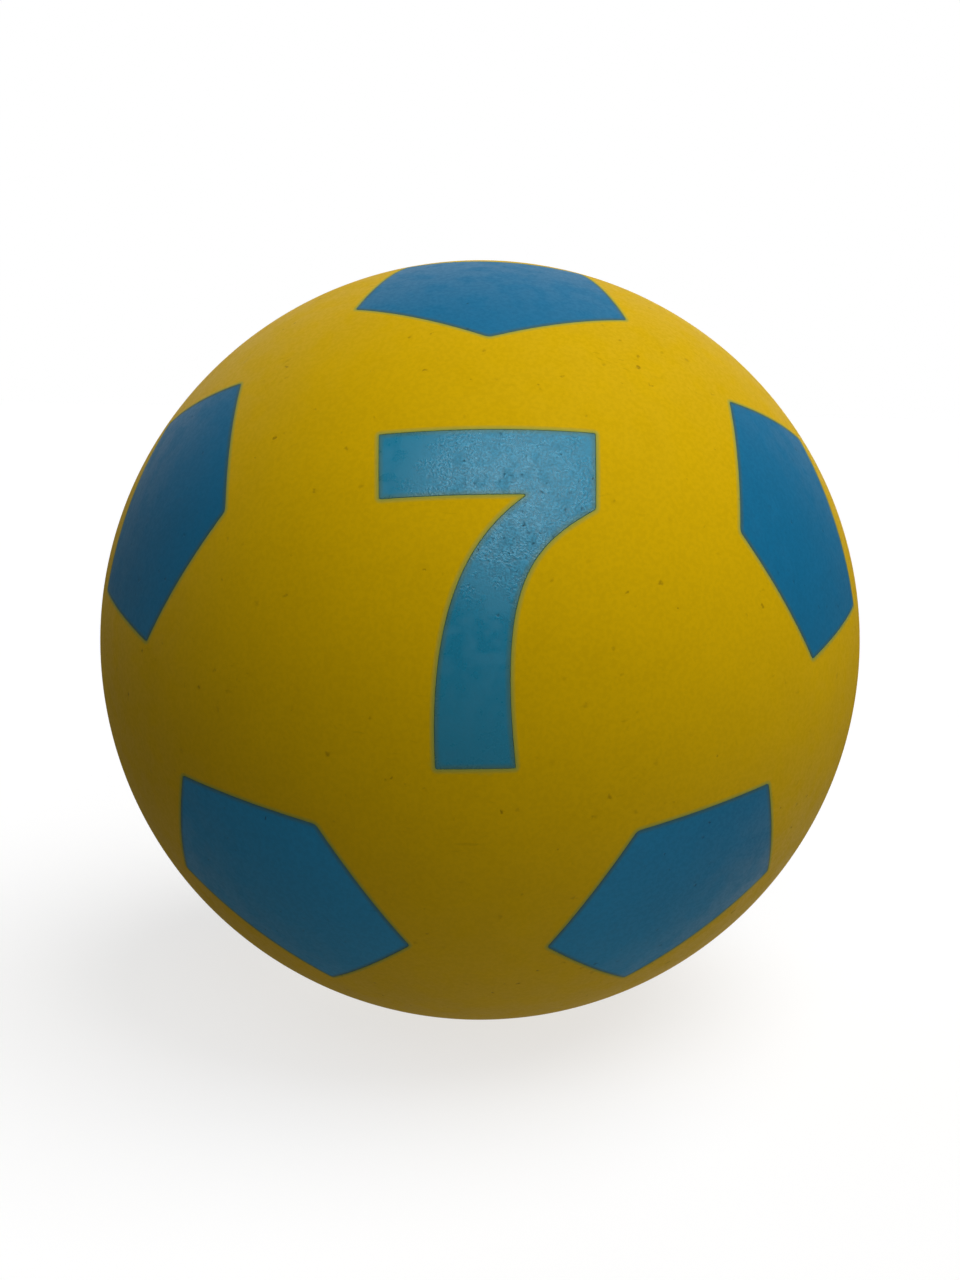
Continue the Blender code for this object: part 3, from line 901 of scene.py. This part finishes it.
def draw_drift_and_painted_light(tree, given):
    """Slow drift of a colour's tone over the surface, with painted light: the colour is made paler on one
    side of the ball, or darker for a negative share, as painted shade.
    """
    drift = noise(tree, object_place(tree), given["Size"], detail=3.0)["Fac"]
    swing = calculated(tree, "MULTIPLY", calculated(tree, "SUBTRACT", drift, 0.5), 2.0)
    centre = (0, 0, BALL_WIDTH / 2 - REST_DEPTH)
    outwards = vector(tree, "NORMALIZE", vector(tree, "SUBTRACT", object_place(tree), centre))
    full_painted_light = calculated(tree, "ADD", given["Painted_light"], 1.0)
    painted_light_factor = ramped(tree, measured(tree, "DOT_PRODUCT", outwards, PAINTED_LIGHT_SIDE), *PAINTED_LIGHT_RANGE, 1.0, full_painted_light)
    drifted = calculated(tree, "MULTIPLY_ADD", swing, given["Strength"], 1.0)
    return toned(tree, given["Colour"], calculated(tree, "MULTIPLY", drifted, painted_light_factor))


def draw_grain(tree, given):
    """Fine grain of a moulded or printed elastomer face."""
    bumps = noise(tree, object_place(tree), given["Pitch"], detail=3.0, roughness=0.6)["Fac"]
    return ramped(tree, bumps, *GRAIN_RANGE, 0.0, 1.0)


def draw_blotches(tree, given):
    """Soft blotches."""
    clouds = noise(tree, object_place(tree), given["Size"], detail=3.0)["Fac"]
    return ramped(tree, clouds, *BLOTCH_RANGE, 0.0, 1.0)


def draw_pinholes(tree, given):
    """Small holes, as air bubbles leave them at a moulded face. Most are slight, and a few are plain."""
    ruffle_size = calculated(tree, "MULTIPLY", given["Radius"], RUFFLE_SIZE)
    ruffle = noise(tree, object_place(tree), ruffle_size)["Color"]
    reach = calculated(tree, "MULTIPLY", given["Radius"], RUFFLE_REACH)
    shift = scaled(tree, vector(tree, "SUBTRACT", ruffle, (0.5, 0.5, 0.5)), reach)
    scale = calculated(tree, "DIVIDE", 1.0, given["Spacing"])
    inputs = {"Vector": vector(tree, "ADD", object_place(tree), shift), "Scale": scale}
    cells = add_node(tree, "ShaderNodeTexVoronoi", inputs).outputs
    chance = add_node(tree, "ShaderNodeSeparateColor", {"Color": cells["Color"]}).outputs
    away = calculated(tree, "MULTIPLY", cells["Distance"], given["Spacing"])
    size = calculated(tree, "MULTIPLY_ADD", chance["Red"], 1.0 - LEAST_PINHOLE, LEAST_PINHOLE)
    radius = calculated(tree, "MULTIPLY", given["Radius"], size)
    spot = ramped(tree, away, calculated(tree, "MULTIPLY", radius, PINHOLE_FLOOR), radius, 1.0, 0.0)
    depth = calculated(tree, "POWER", chance["Green"], calculated(tree, "DIVIDE", 1.0, given["Evenness"]))
    return calculated(tree, "MULTIPLY", spot, depth)


def draw_scuffs(tree, given):
    """Faint short rubs that all run about one way, in scattered patches."""
    turn = {"Vector": object_place(tree), "Rotation": given["Direction"], "Scale": SCUFF_STRETCH}
    along = add_node(tree, "ShaderNodeMapping", turn).outputs[0]
    lines = noise(tree, along, given["Size"])["Fac"]
    mark = ramped(tree, lines, *SCUFF_RANGE, 0.0, 1.0)
    patch_size = calculated(tree, "DIVIDE", given["Size"], SCUFF_SHARE)
    patches = noise(tree, object_place(tree), patch_size)["Fac"]
    start = calculated(tree, "SUBTRACT", 1.0, given["Share"])
    full = calculated(tree, "ADD", start, PATCH_FADE)
    return calculated(tree, "MULTIPLY", mark, ramped(tree, patches, start, full, 0.0, 1.0))


def draw_edge_shade(tree, given):
    """Painted shade at an inlay's edge: the colour fades into a darker one, by the mesh's own rim
    attribute.
    """
    rim = add_node(tree, "ShaderNodeAttribute", attribute_name="rim").outputs["Fac"]
    return mixed(tree, calculated(tree, "MULTIPLY", rim, given["Share"]), given["Colour"], given["Edge"])


# What draws each effect that the finishes share, with its inputs and its output
EFFECTS = {
    # The tone drift also paints light and shade: one side of the ball paler or darker
    "Tone drift and painted light": (
        draw_drift_and_painted_light,
        {"Colour": "Color", "Size": "Float", "Strength": "Float", "Painted_light": "Float"},
        ("Colour", "Color"),
    ),
    "Fine grain": (draw_grain, {"Pitch": "Float"}, ("Height", "Float")),
    "Blotches": (draw_blotches, {"Size": "Float"}, ("Mask", "Float")),
    "Pinholes": (
        draw_pinholes,
        {"Spacing": "Float", "Radius": "Float", "Evenness": "Float"},
        ("Mask", "Float"),
    ),
    "Scuffs": (
        draw_scuffs,
        {"Direction": "Vector", "Size": "Float", "Share": "Float"},
        ("Mask", "Float"),
    ),
    # Painted shade along the edges of the inlays
    "Painted edge shade": (
        draw_edge_shade,
        {"Colour": "Color", "Edge": "Color", "Share": "Float"},
        ("Colour", "Color"),
    ),
}


def effect(tree, name, **values):
    """Places a shared effect in a material with the values that its inputs name, and gives its output."""
    draw, inputs, output = EFFECTS[name]
    group = shared_tree("ShaderNodeTree", name, inputs, output, draw)
    given = {socket: values[socket.lower()] for socket in inputs}
    return add_node(tree, "ShaderNodeGroup", given, node_tree=group).outputs[0]


def elastomer(
    name, base, speck, roughness, gloss, drift, grain, blotches, pinholes, scuffs,
    edge_shade=None, coarse_and_painted_speckle=None, gloss_tint=(1.0, 1.0, 1.0),
):
    """A moulded elastomer face, from its colours and the values of each thing that varies over it.

    Its edge shade is the darker colour painted at an inlay's edge, as shade along the hairline, and its
    share. Where the coarse patch is given, as a place and two distances from it, the grain and the pinholes
    fade out from the one to the other, in uneven patches; inside it their tone and dark dots in the colour
    are painted speckle of the highlight.
    """
    if name in bpy.data.materials:
        return bpy.data.materials[name]
    made = bpy.data.materials.new(name)
    made.use_nodes = True
    tree = made.node_tree
    shader = tree.nodes["Principled BSDF"]
    shader.inputs["Specular IOR Level"].default_value = gloss
    shader.inputs["Specular Tint"].default_value = (*gloss_tint, 1.0)

    tone = effect(tree, "Tone drift and painted light", colour=(*base, 1.0), **drift)
    height = effect(tree, "Fine grain", **grain)
    holes = effect(tree, "Pinholes", **pinholes)
    patches = effect(tree, "Blotches", **blotches)
    rubs = effect(tree, "Scuffs", **scuffs)
    # Inside the coarse patch the colour's grain tone and dark pinholes are strong: painted speckle of the
    # highlight
    if coarse_and_painted_speckle:
        place, near, far = coarse_and_painted_speckle
        away = measured(tree, "DISTANCE", object_place(tree), place)
        away = calculated(tree, "MULTIPLY_ADD", patches, (far - near) / 2, away)
        share = ramped(tree, away, near, far, 1.0, PLAIN_SHARE)
        height = calculated(tree, "MULTIPLY_ADD", calculated(tree, "SUBTRACT", height, 0.5), share, 0.5)
        holes = calculated(tree, "MULTIPLY", holes, share)

    shade = ramped(tree, height, 0.0, 1.0, 1.0 - grain["shade"], 1.0 + grain["shade"])
    face = toned(tree, tone, shade)
    # Painted shade: the colour darkens towards each inlay's edge, along the hairline
    if edge_shade:
        edge, share = edge_shade
        face = effect(tree, "Painted edge shade", colour=face, edge=(*edge, 1.0), share=share)
    face = mixed(tree, calculated(tree, "MULTIPLY", holes, pinholes["dark"]), face, (*speck, 1.0))
    face = mixed(tree, rubs, face, toned(tree, face, 1.0 - scuffs["dark"]))
    tree.links.new(face, shader.inputs["Base Color"])

    rough = calculated(tree, "MULTIPLY_ADD", rubs, scuffs["dull"], roughness)
    rough = calculated(tree, "MULTIPLY_ADD", patches, blotches["dull"], rough)
    rough = calculated(tree, "MULTIPLY_ADD", height, -grain["polish"], rough)
    rough = calculated(tree, "MULTIPLY_ADD", holes, pinholes["dull"], rough, clamp=True)
    tree.links.new(rough, shader.inputs["Roughness"])
    depth = calculated(tree, "MULTIPLY_ADD", holes, -pinholes["depth"] / grain["depth"], height)
    inputs = {"Height": depth, "Distance": grain["depth"], "Strength": 1.0}
    tree.links.new(add_node(tree, "ShaderNodeBump", inputs).outputs[0], shader.inputs["Normal"])
    return made


def yellow_skin(finish):
    """Matte moulded wall."""
    return elastomer(
        "yellow_skin", finish.skin, finish.skin_speck, roughness=0.65, gloss=0.38,
        drift={"size": 0.010, "strength": 0.04, "painted_light": 0.0},
        grain={"pitch": 0.0009, "shade": 0.035, "depth": 0.000006, "polish": 0.1},
        blotches={"size": 0.006, "dull": 0.1},
        pinholes={
            "spacing": 0.0028, "radius": 0.0008, "evenness": 0.18,
            "dark": 0.6, "dull": 0.1, "depth": 0.00006,
        },
        scuffs={"direction": (0.3, 0.5, 0.9), "size": 0.0008, "share": 0.42, "dark": 0.14, "dull": 0.08},
        edge_shade=(finish.skin_edge_shade, 1.0),
        gloss_tint=(1.0, 0.62, 0.02),
    )


def blue_panel(finish):
    """Satin inlay of the panels."""
    return elastomer(
        "blue_panel", finish.panel, finish.inlay_speck, roughness=0.5, gloss=0.33,
        # Painted light: the panels grow up to 70% paler towards the ball's low front, as if lit more there
        drift={"size": 0.010, "strength": 0.05, "painted_light": 0.7},
        grain={"pitch": 0.0009, "shade": 0.05, "depth": 0.000008, "polish": 0.08},
        blotches={"size": 0.005, "dull": 0.1},
        pinholes={
            "spacing": 0.0028, "radius": 0.0007, "evenness": 0.24,
            "dark": 0.6, "dull": 0.1, "depth": 0.00005,
        },
        scuffs={"direction": (0.9, 0.2, 0.4), "size": 0.0008, "share": 0.40, "dark": -0.10, "dull": 0.08},
        edge_shade=(finish.panel_edge_shade, 0.62),
    )


def blue_number(finish):
    """Semi-gloss inlay of the number. Its upper part is coarser, which breaks its highlight up, and there
    its colour carries painted speckle of that highlight: strong grain tone and dark pinhole dots.
    """
    return elastomer(
        "blue_number", finish.number, finish.inlay_speck, roughness=0.32, gloss=1.0,
        # Painted shade: the number grows 7% darker towards its lower part
        drift={"size": 0.010, "strength": 0.03, "painted_light": -0.07},
        grain={"pitch": 0.00045, "shade": 0.24, "depth": 0.000032, "polish": 0.1},
        blotches={"size": 0.003, "dull": 0.22},
        pinholes={
            "spacing": 0.0011, "radius": 0.00050, "evenness": 0.45,
            "dark": 0.9, "dull": 0.3, "depth": 0.00004,
        },
        scuffs={"direction": (0.1, 0.8, 0.2), "size": 0.0008, "share": 0.35, "dark": 0.05, "dull": 0.05},
        edge_shade=(finish.number_edge_shade, 0.55),
        coarse_and_painted_speckle=(COARSE_AND_PAINTED_PLACE, *COARSE_AND_PAINTED_RANGE),
        gloss_tint=(0.75, 0.95, 1.0),
    )


def grey_valve(finish):
    """Dark soft rubber of the valve."""
    return elastomer(
        "grey_valve", finish.valve, finish.valve_speck, roughness=0.58, gloss=0.4,
        drift={"size": 0.006, "strength": 0.08, "painted_light": 0.0},
        grain={"pitch": 0.0003, "shade": 0.10, "depth": 0.00001, "polish": 0.08},
        blotches={"size": 0.002, "dull": 0.1},
        pinholes={
            "spacing": 0.002, "radius": 0.00015, "evenness": 0.4,
            "dark": 0.5, "dull": 0.1, "depth": 0.00004,
        },
        scuffs={"direction": (0.2, 0.1, 0.7), "size": 0.0004, "share": 0.42, "dark": -0.25, "dull": 0.06},
    )


# Turned pieces

# The crown of the plug's head, as shares of its radius and of the dome's height
DOME_CURVE = ((0.0, 0.0), (0.3, 0.09), (0.6, 0.36), (0.85, 0.72), (1.0, 1.0))
BEAD_STEPS = 4  # on each side of a sealing bead's crest
NOTCH_POINTS = 32  # round the nail notch
NOTCH_LIFT = 0.7  # of the notch's middle over the seat of the plug's head, as a share of its radius
CORNER_SHARE = 0.45  # of a side that the curve at its end may take up
ARC_PULL = 0.55  # of the way to the corner, which makes the curve about round
MERGE_DISTANCE = 1e-6  # between points that a turned profile makes twice


def rounded(corners, reach, closed):
    """A profile with its corners replaced by short curves. An open profile keeps its two ends."""
    points = []
    ends = () if closed else (0, len(corners) - 1)
    for index, corner in enumerate(corners):
        back = corners[index - 1] - corner
        ahead = corners[(index + 1) % len(corners)] - corner
        if index in ends or back.angle(ahead) > pi - SHARP_ANGLE:
            points.append(corner)
            continue
        near = min(reach, back.length * CORNER_SHARE, ahead.length * CORNER_SHARE)
        start = corner + back.normalized() * near
        end = corner + ahead.normalized() * near
        pulls = start.lerp(corner, ARC_PULL), end.lerp(corner, ARC_PULL)
        points += [point.to_2d() for point in interpolate_bezier(start, *pulls, end, LIP_STEPS + 2)]
    return points


def turned_piece(name, profile, closed):
    """A profile of (distance from the axis, height) turned about the rear pole."""
    bm = bmesh.new()
    points = [bm.verts.new((point.x, 0.0, point.y)) for point in profile]
    ends = points[1:] + points[:1] if closed else points[1:]
    lines = [bm.edges.new(pair) for pair in zip(points, ends)]
    bmesh.ops.spin(bm, geom=points + lines, axis=(0, 0, 1), angle=tau, steps=VALVE_POINTS)
    bmesh.ops.remove_doubles(bm, verts=bm.verts, dist=MERGE_DISTANCE)
    return link_object(name, mesh_from(name, bm))


def stand_on_pole(settings, piece, finish):
    """Moves a turned mesh to the rear pole, and gives it its finish."""
    tip = Matrix.Rotation(pole_turn(settings, rear=True), 4, "X")
    piece.data.transform(Matrix.Translation((0, 0, centre_height(settings))) @ tip)
    piece.data.materials.clear()
    piece.data.materials.append(finish)
    return piece


def valve_levels(settings):
    """Heights on the rear pole: the valve's top, its flange's top, its end and the plug head's seat."""
    ball, valve = settings.ball, settings.valve
    radius = ball.diameter / 2
    top = sqrt(radius**2 - (valve.neck_diameter / 2) ** 2)
    flange_top = radius - ball.wall - valve.boss_height - ball.seat_gap
    end = flange_top - valve.flange_thickness - valve.stem_length
    seat = top - valve.head_thickness - ball.seat_gap
    return top, flange_top, end, seat


def sleeve_profile(settings):
    """The valve's sleeve: a neck with a recess for the plug's head, a flange and a stem."""
    valve = settings.valve
    top, flange_top, end, seat = valve_levels(settings)
    flange_end = flange_top - valve.flange_thickness
    recess = valve.head_diameter / 2 + valve.bore_gap
    neck = valve.neck_diameter / 2
    flange = valve.flange_diameter / 2
    stem = valve.stem_diameter / 2
    bore = valve.bore_diameter / 2
    corners = [
        (recess, top), (neck, top), (neck, flange_top), (flange, flange_top), (flange, flange_end),
        (stem, flange_end), (stem, end), (bore, end), (bore, seat), (recess, seat),
    ]
    return rounded([Vector(corner) for corner in corners], valve.edge, closed=True)


def plug_profile(settings):
    """The plug: a low domed head, a shank with sealing beads and a tapered tip."""
    valve = settings.valve
    top, _, end, seat = valve_levels(settings)
    shank = valve.bore_diameter / 2 - valve.bore_gap
    head = valve.head_diameter / 2
    underside = seat + settings.ball.seat_gap
    corners = [(head * share, top - valve.dome * drop) for share, drop in DOME_CURVE]
    corners += [(head, underside), (shank, underside)]
    for number in range(valve.bead_count):
        middle = underside - valve.bead_spacing * (number + 1)
        for step in range(-BEAD_STEPS, BEAD_STEPS + 1):
            rise = valve.bead_height * (1 + cos(pi * step / BEAD_STEPS)) / 2
            corners.append((shank + rise, middle - valve.bead_width / 2 * step / BEAD_STEPS))
    corners += [(shank, end + valve.taper_length), (valve.tip_diameter / 2, end), (0.0, end)]
    return rounded([Vector(corner) for corner in corners], valve.edge, closed=False)


def cut_nail_notch(settings, sleeve):
    """Scoops a place for a finger nail beside the plug's head."""
    valve = settings.valve
    top, _, _, seat = valve_levels(settings)
    radius = valve.notch_diameter / 2
    bm = bmesh.new()
    bmesh.ops.create_uvsphere(bm, u_segments=NOTCH_POINTS, v_segments=NOTCH_POINTS // 2, radius=radius)
    for vert in bm.verts:
        if vert.co.z > 0:
            vert.co.z += top - seat
    middle = (valve.head_diameter / 2 + valve.bore_gap, 0.0, seat + radius * NOTCH_LIFT)
    bmesh.ops.translate(bm, vec=middle, verts=bm.verts)
    cutter = link_object("nail_notch_cutter", mesh_from("nail_notch_cutter", bm))
    notch = sleeve.modifiers.new("Nail notch", "BOOLEAN")
    notch.operation = "DIFFERENCE"
    notch.solver = "EXACT"
    notch.object = cutter
    as_plain_mesh(sleeve)
    bpy.data.objects.remove(cutter, do_unlink=True)
    sleeve.data.shade_smooth()
    sleeve.data.set_sharp_from_angle(angle=SHARP_ANGLE)


# Stage

# Where the floor's brightness for the ball changes, in metres from where it stands
BOUNCE_SIDES = (-0.15, 0.10)  # from the left bounce to the right one
BOUNCE_REACH = (0.1, 0.3)  # from the near bounce to the far one
SHEEN_SIDES = (-0.05, 0.05)  # from the sheen at the left to the one at the right
SHEEN_REACH = (0.12, 0.25)  # from the sheen near the ball to the one further away
SHEEN_FRONT = (-0.06, 0.0)  # from the sheen in front to the one behind
LEFT_SHEEN_SHARE = 1 / 3  # of the sheen behind

# Where the room in the ball's gloss changes, by the parts of the direction that shows it
ROOM_BEHIND = (0.3, 0.75)  # grows brighter towards the back
ROOM_HEIGHT = (-0.1, 0.35)  # grows brighter upwards
ROOM_LOW_SHARE = 0.2  # of that brightness low down
ROOM_SIDES = (0.5, 0.85)  # grows darker towards both sides

FLOOR_CELLS = 8  # along each side of the floor
CLIP_START = 0.01


def lamps(stage):
    """Direction, level and size of each light."""
    return {
        "window_light": (stage.window_direction, stage.window_level, stage.window_size),
        "top_light": (stage.top_direction, stage.top_level, stage.top_size),
        "fill_light": (stage.fill_direction, stage.fill_level, stage.fill_size),
        "rim_light": (stage.rim_direction, stage.rim_level, stage.rim_size),
        "rear_light": (stage.rear_direction, stage.rear_level, stage.rear_size),
    }


def seen_white(tree):
    """1 for a ray that shows the stage itself, which is white."""
    path = add_node(tree, "ShaderNodeLightPath").outputs
    return calculated(tree, "MAXIMUM", path["Is Camera Ray"], path["Is Transmission Ray"])


def unseen_white(tree, lit, sheen):
    """How bright the stage's white is where it lights the ball, and where the ball's gloss shows it."""
    path = add_node(tree, "ShaderNodeLightPath").outputs
    return between(tree, path["Is Glossy Ray"], lit, sheen)


def floor_brightness(tree, stage):
    """How bright the floor is for the ball: its bounce varies from side to side, and fades further away."""
    place = object_place(tree)
    parts = split(tree, place)
    away = measured(tree, "LENGTH", place)
    lit = ramped(tree, parts["X"], *BOUNCE_SIDES, stage.left_bounce, stage.right_bounce)
    lit = ramped(tree, away, *BOUNCE_REACH, lit, stage.far_bounce)
    left_sheen = stage.back_sheen * LEFT_SHEEN_SHARE
    behind = ramped(tree, parts["X"], *SHEEN_SIDES, left_sheen, stage.back_sheen)
    behind = ramped(tree, away, *SHEEN_REACH, behind, stage.floor_sheen)
    sheen = ramped(tree, parts["Y"], *SHEEN_FRONT, stage.floor_sheen, behind)
    return unseen_white(tree, lit, sheen)


def add_floor(stage):
    """A wide white floor. What it throws on the ball is dimmer than what the camera sees of it.

    What the lights give it and its own glow add up to white, so that only its shadows show.
    """
    bm = bmesh.new()
    bmesh.ops.create_grid(bm, x_segments=FLOOR_CELLS, y_segments=FLOOR_CELLS, size=stage.floor_size / 2)
    floor = link_object("floor", mesh_from("floor", bm))
    made = bpy.data.materials.new("floor_white")
    made.use_nodes = True
    tree = made.node_tree
    tree.nodes.clear()
    light = stage.ambient
    for towards, level, _ in lamps(stage).values():
        light += level * Vector(towards).normalized().z
    strength = floor_brightness(tree, stage)
    bounce = add_node(tree, "ShaderNodeEmission", {"Color": (*stage.bounce, 1.0), "Strength": strength})
    shaded = add_node(tree, "ShaderNodeBsdfDiffuse", {"Color": (*[stage.floor_shade / light] * 3, 1.0)})
    glow = add_node(tree, "ShaderNodeEmission", {"Strength": 1.0 - stage.floor_shade})
    shown = add_node(tree, "ShaderNodeAddShader", {0: shaded.outputs[0], 1: glow.outputs[0]})
    inputs = {0: seen_white(tree), 1: bounce.outputs[0], 2: shown.outputs[0]}
    both = add_node(tree, "ShaderNodeMixShader", inputs)
    add_node(tree, "ShaderNodeOutputMaterial", {"Surface": both.outputs[0]})
    floor.data.materials.append(made)


def add_lights(stage):
    """Soft lights without falloff, so that the floor is lit evenly. Gloss shows only the window."""
    for name, (towards, level, size) in lamps(stage).items():
        data = bpy.data.lights.new(name, "SUN")
        data.energy = pi * level
        data.angle = size
        lamp = link_object(name, data)
        lamp.rotation_euler = Vector(towards).to_track_quat("Z", "Y").to_euler()
        lamp.visible_glossy = name == "window_light"


def add_world(scene, stage):
    """White where it is seen, and a dim light from all round. Gloss shows it brighter high behind."""
    world = bpy.data.worlds.new("studio")
    world.use_nodes = True
    tree = world.node_tree
    tree.nodes.clear()
    towards = split(tree, add_node(tree, "ShaderNodeTexCoord").outputs["Generated"])
    behind = ramped(tree, towards["Y"], *ROOM_BEHIND, 0.0, 1.0)
    high = ramped(tree, towards["Z"], *ROOM_HEIGHT, ROOM_LOW_SHARE, 1.0)
    middle = ramped(tree, calculated(tree, "ABSOLUTE", towards["X"]), *ROOM_SIDES, 1.0, 0.0)
    share = calculated(tree, "MULTIPLY", calculated(tree, "MULTIPLY", behind, high), middle)
    sheen = between(tree, share, stage.front_sheen, stage.back_sheen)
    strength = between(tree, seen_white(tree), unseen_white(tree, stage.ambient, sheen), 1.0)
    both = add_node(tree, "ShaderNodeBackground", {"Color": (1, 1, 1, 1), "Strength": strength})
    add_node(tree, "ShaderNodeOutputWorld", {"Surface": both.outputs[0]})
    scene.world = world


def add_camera(scene, settings):
    """The camera, aimed at the ball's centre from the number's side."""
    stage = settings.stage
    data = bpy.data.cameras.new("camera")
    data.lens = stage.lens
    data.clip_start = CLIP_START
    camera = link_object("camera", data)
    height = stage.camera_height
    away = Vector((0, -cos(height), sin(height)))
    camera.location = Vector((0, 0, centre_height(settings))) + away * stage.camera_distance
    look = Euler((pi / 2 - height, 0, 0)).to_quaternion()
    camera.rotation_euler = (look @ Quaternion((0, 0, 1), stage.camera_roll)).to_euler()
    scene.camera = camera


# Operators

class PLAYBALL_OT_half_skins(bpy.types.Operator):
    """Model the two halves of the ball's wall, with pockets for the inlays"""

    bl_idname = "play_ball.half_skins"
    bl_label = "Half Skins"

    def execute(self, context):
        settings = context.scene.play_ball
        finish = yellow_skin(settings.finish)
        front = laid_piece(settings, "front_skin", front_relief(settings), finish)
        rear = laid_piece(settings, "rear_skin", rear_relief(settings), finish, rear=True)
        stands_for(front, "front_half_shell", "ball")
        stands_for(rear, "rear_half_shell", "ball")
        return {"FINISHED"}


class PLAYBALL_OT_panels(bpy.types.Operator):
    """Model the rings of panels round both poles, and the panel on the rear pole"""

    bl_idname = "play_ball.panels"
    bl_label = "Panels"

    def execute(self, context):
        settings = context.scene.play_ball
        finish = blue_panel(settings.finish)
        for half, nudges in (("front", FRONT_RING), ("rear", REAR_RING)):
            for number, outline in enumerate(ring_outlines(settings, nudges), 1):
                relief = inlay_relief(settings, outline)
                piece = laid_piece(settings, f"{half}_panel_inlay_{number}", relief, finish, half == "rear")
                stands_for(piece, f"{half}_panel_{number}", "ball")
        radius = settings.ball.diameter / 2
        neck_hole = radius * asin((settings.valve.neck_diameter / 2 + settings.valve.bore_gap) / radius)
        relief = inlay_relief(settings, pole_panel_outline(settings), neck_hole)
        piece = laid_piece(settings, "rear_pole_inlay", relief, finish, rear=True)
        stands_for(piece, "rear_pole_panel", "ball")
        return {"FINISHED"}


class PLAYBALL_OT_number(bpy.types.Operator):
    """Model the number on the front pole"""

    bl_idname = "play_ball.number"
    bl_label = "Number"

    def execute(self, context):
        settings = context.scene.play_ball
        relief = inlay_relief(settings, number_outline(settings))
        piece = laid_piece(settings, "number_inlay", relief, blue_number(settings.finish))
        stands_for(piece, "number_seven", "ball")
        return {"FINISHED"}


class PLAYBALL_OT_valve(bpy.types.Operator):
    """Model the valve's sleeve and the plug that pulls out of it"""

    bl_idname = "play_ball.valve"
    bl_label = "Valve and Plug"

    def execute(self, context):
        settings = context.scene.play_ball
        finish = grey_valve(settings.finish)
        sleeve = turned_piece("valve_sleeve", sleeve_profile(settings), closed=True)
        cut_nail_notch(settings, sleeve)
        stopper = turned_piece("valve_stopper", plug_profile(settings), closed=False)
        stands_for(stand_on_pole(settings, sleeve, finish), "valve_body", "ball")
        stands_for(stand_on_pole(settings, stopper, finish), "valve_plug", "plug")
        return {"FINISHED"}


class PLAYBALL_OT_stage(bpy.types.Operator):
    """Add the floor, the lights, the world and the camera"""

    bl_idname = "play_ball.stage"
    bl_label = "Stage"

    def execute(self, context):
        settings = context.scene.play_ball
        add_floor(settings.stage)
        add_lights(settings.stage)
        add_world(context.scene, settings.stage)
        add_camera(context.scene, settings)
        context.scene.view_settings.view_transform = "Standard"
        return {"FINISHED"}


# Sidebar and registration

OPERATORS = (
    PLAYBALL_OT_half_skins, PLAYBALL_OT_panels, PLAYBALL_OT_number, PLAYBALL_OT_valve, PLAYBALL_OT_stage,
)


class PLAYBALL_PT_sidebar(bpy.types.Panel):
    """Sizes and colours of the ball, and the steps that build it"""

    bl_idname = "PLAYBALL_PT_sidebar"
    bl_label = "Play Ball"
    bl_space_type = "VIEW_3D"
    bl_region_type = "UI"
    bl_category = "Play Ball"

    def draw(self, context):
        settings = context.scene.play_ball
        for group in ("ball", "pattern", "number", "valve", "finish", "stage"):
            box = self.layout.box()
            box.label(text=group.capitalize())
            values = getattr(settings, group)
            for name in values.__annotations__:
                box.prop(values, name)
        for operator in OPERATORS:
            self.layout.operator(operator.bl_idname)


CLASSES = (
    BallSizes, PatternSizes, NumberSizes, ValveSizes, FinishColours, StageSettings, PlayBallSettings,
    *OPERATORS, PLAYBALL_PT_sidebar,
)


def register():
    for cls in CLASSES:
        bpy.utils.register_class(cls)
    bpy.types.Scene.play_ball = PointerProperty(type=PlayBallSettings)


def unregister():
    del bpy.types.Scene.play_ball
    for cls in reversed(CLASSES):
        bpy.utils.unregister_class(cls)


def main():
    register()
    bpy.ops.play_ball.half_skins()
    bpy.ops.play_ball.panels()
    bpy.ops.play_ball.number()
    bpy.ops.play_ball.valve()
    bpy.ops.play_ball.stage()


if __name__ == "__main__":
    main()
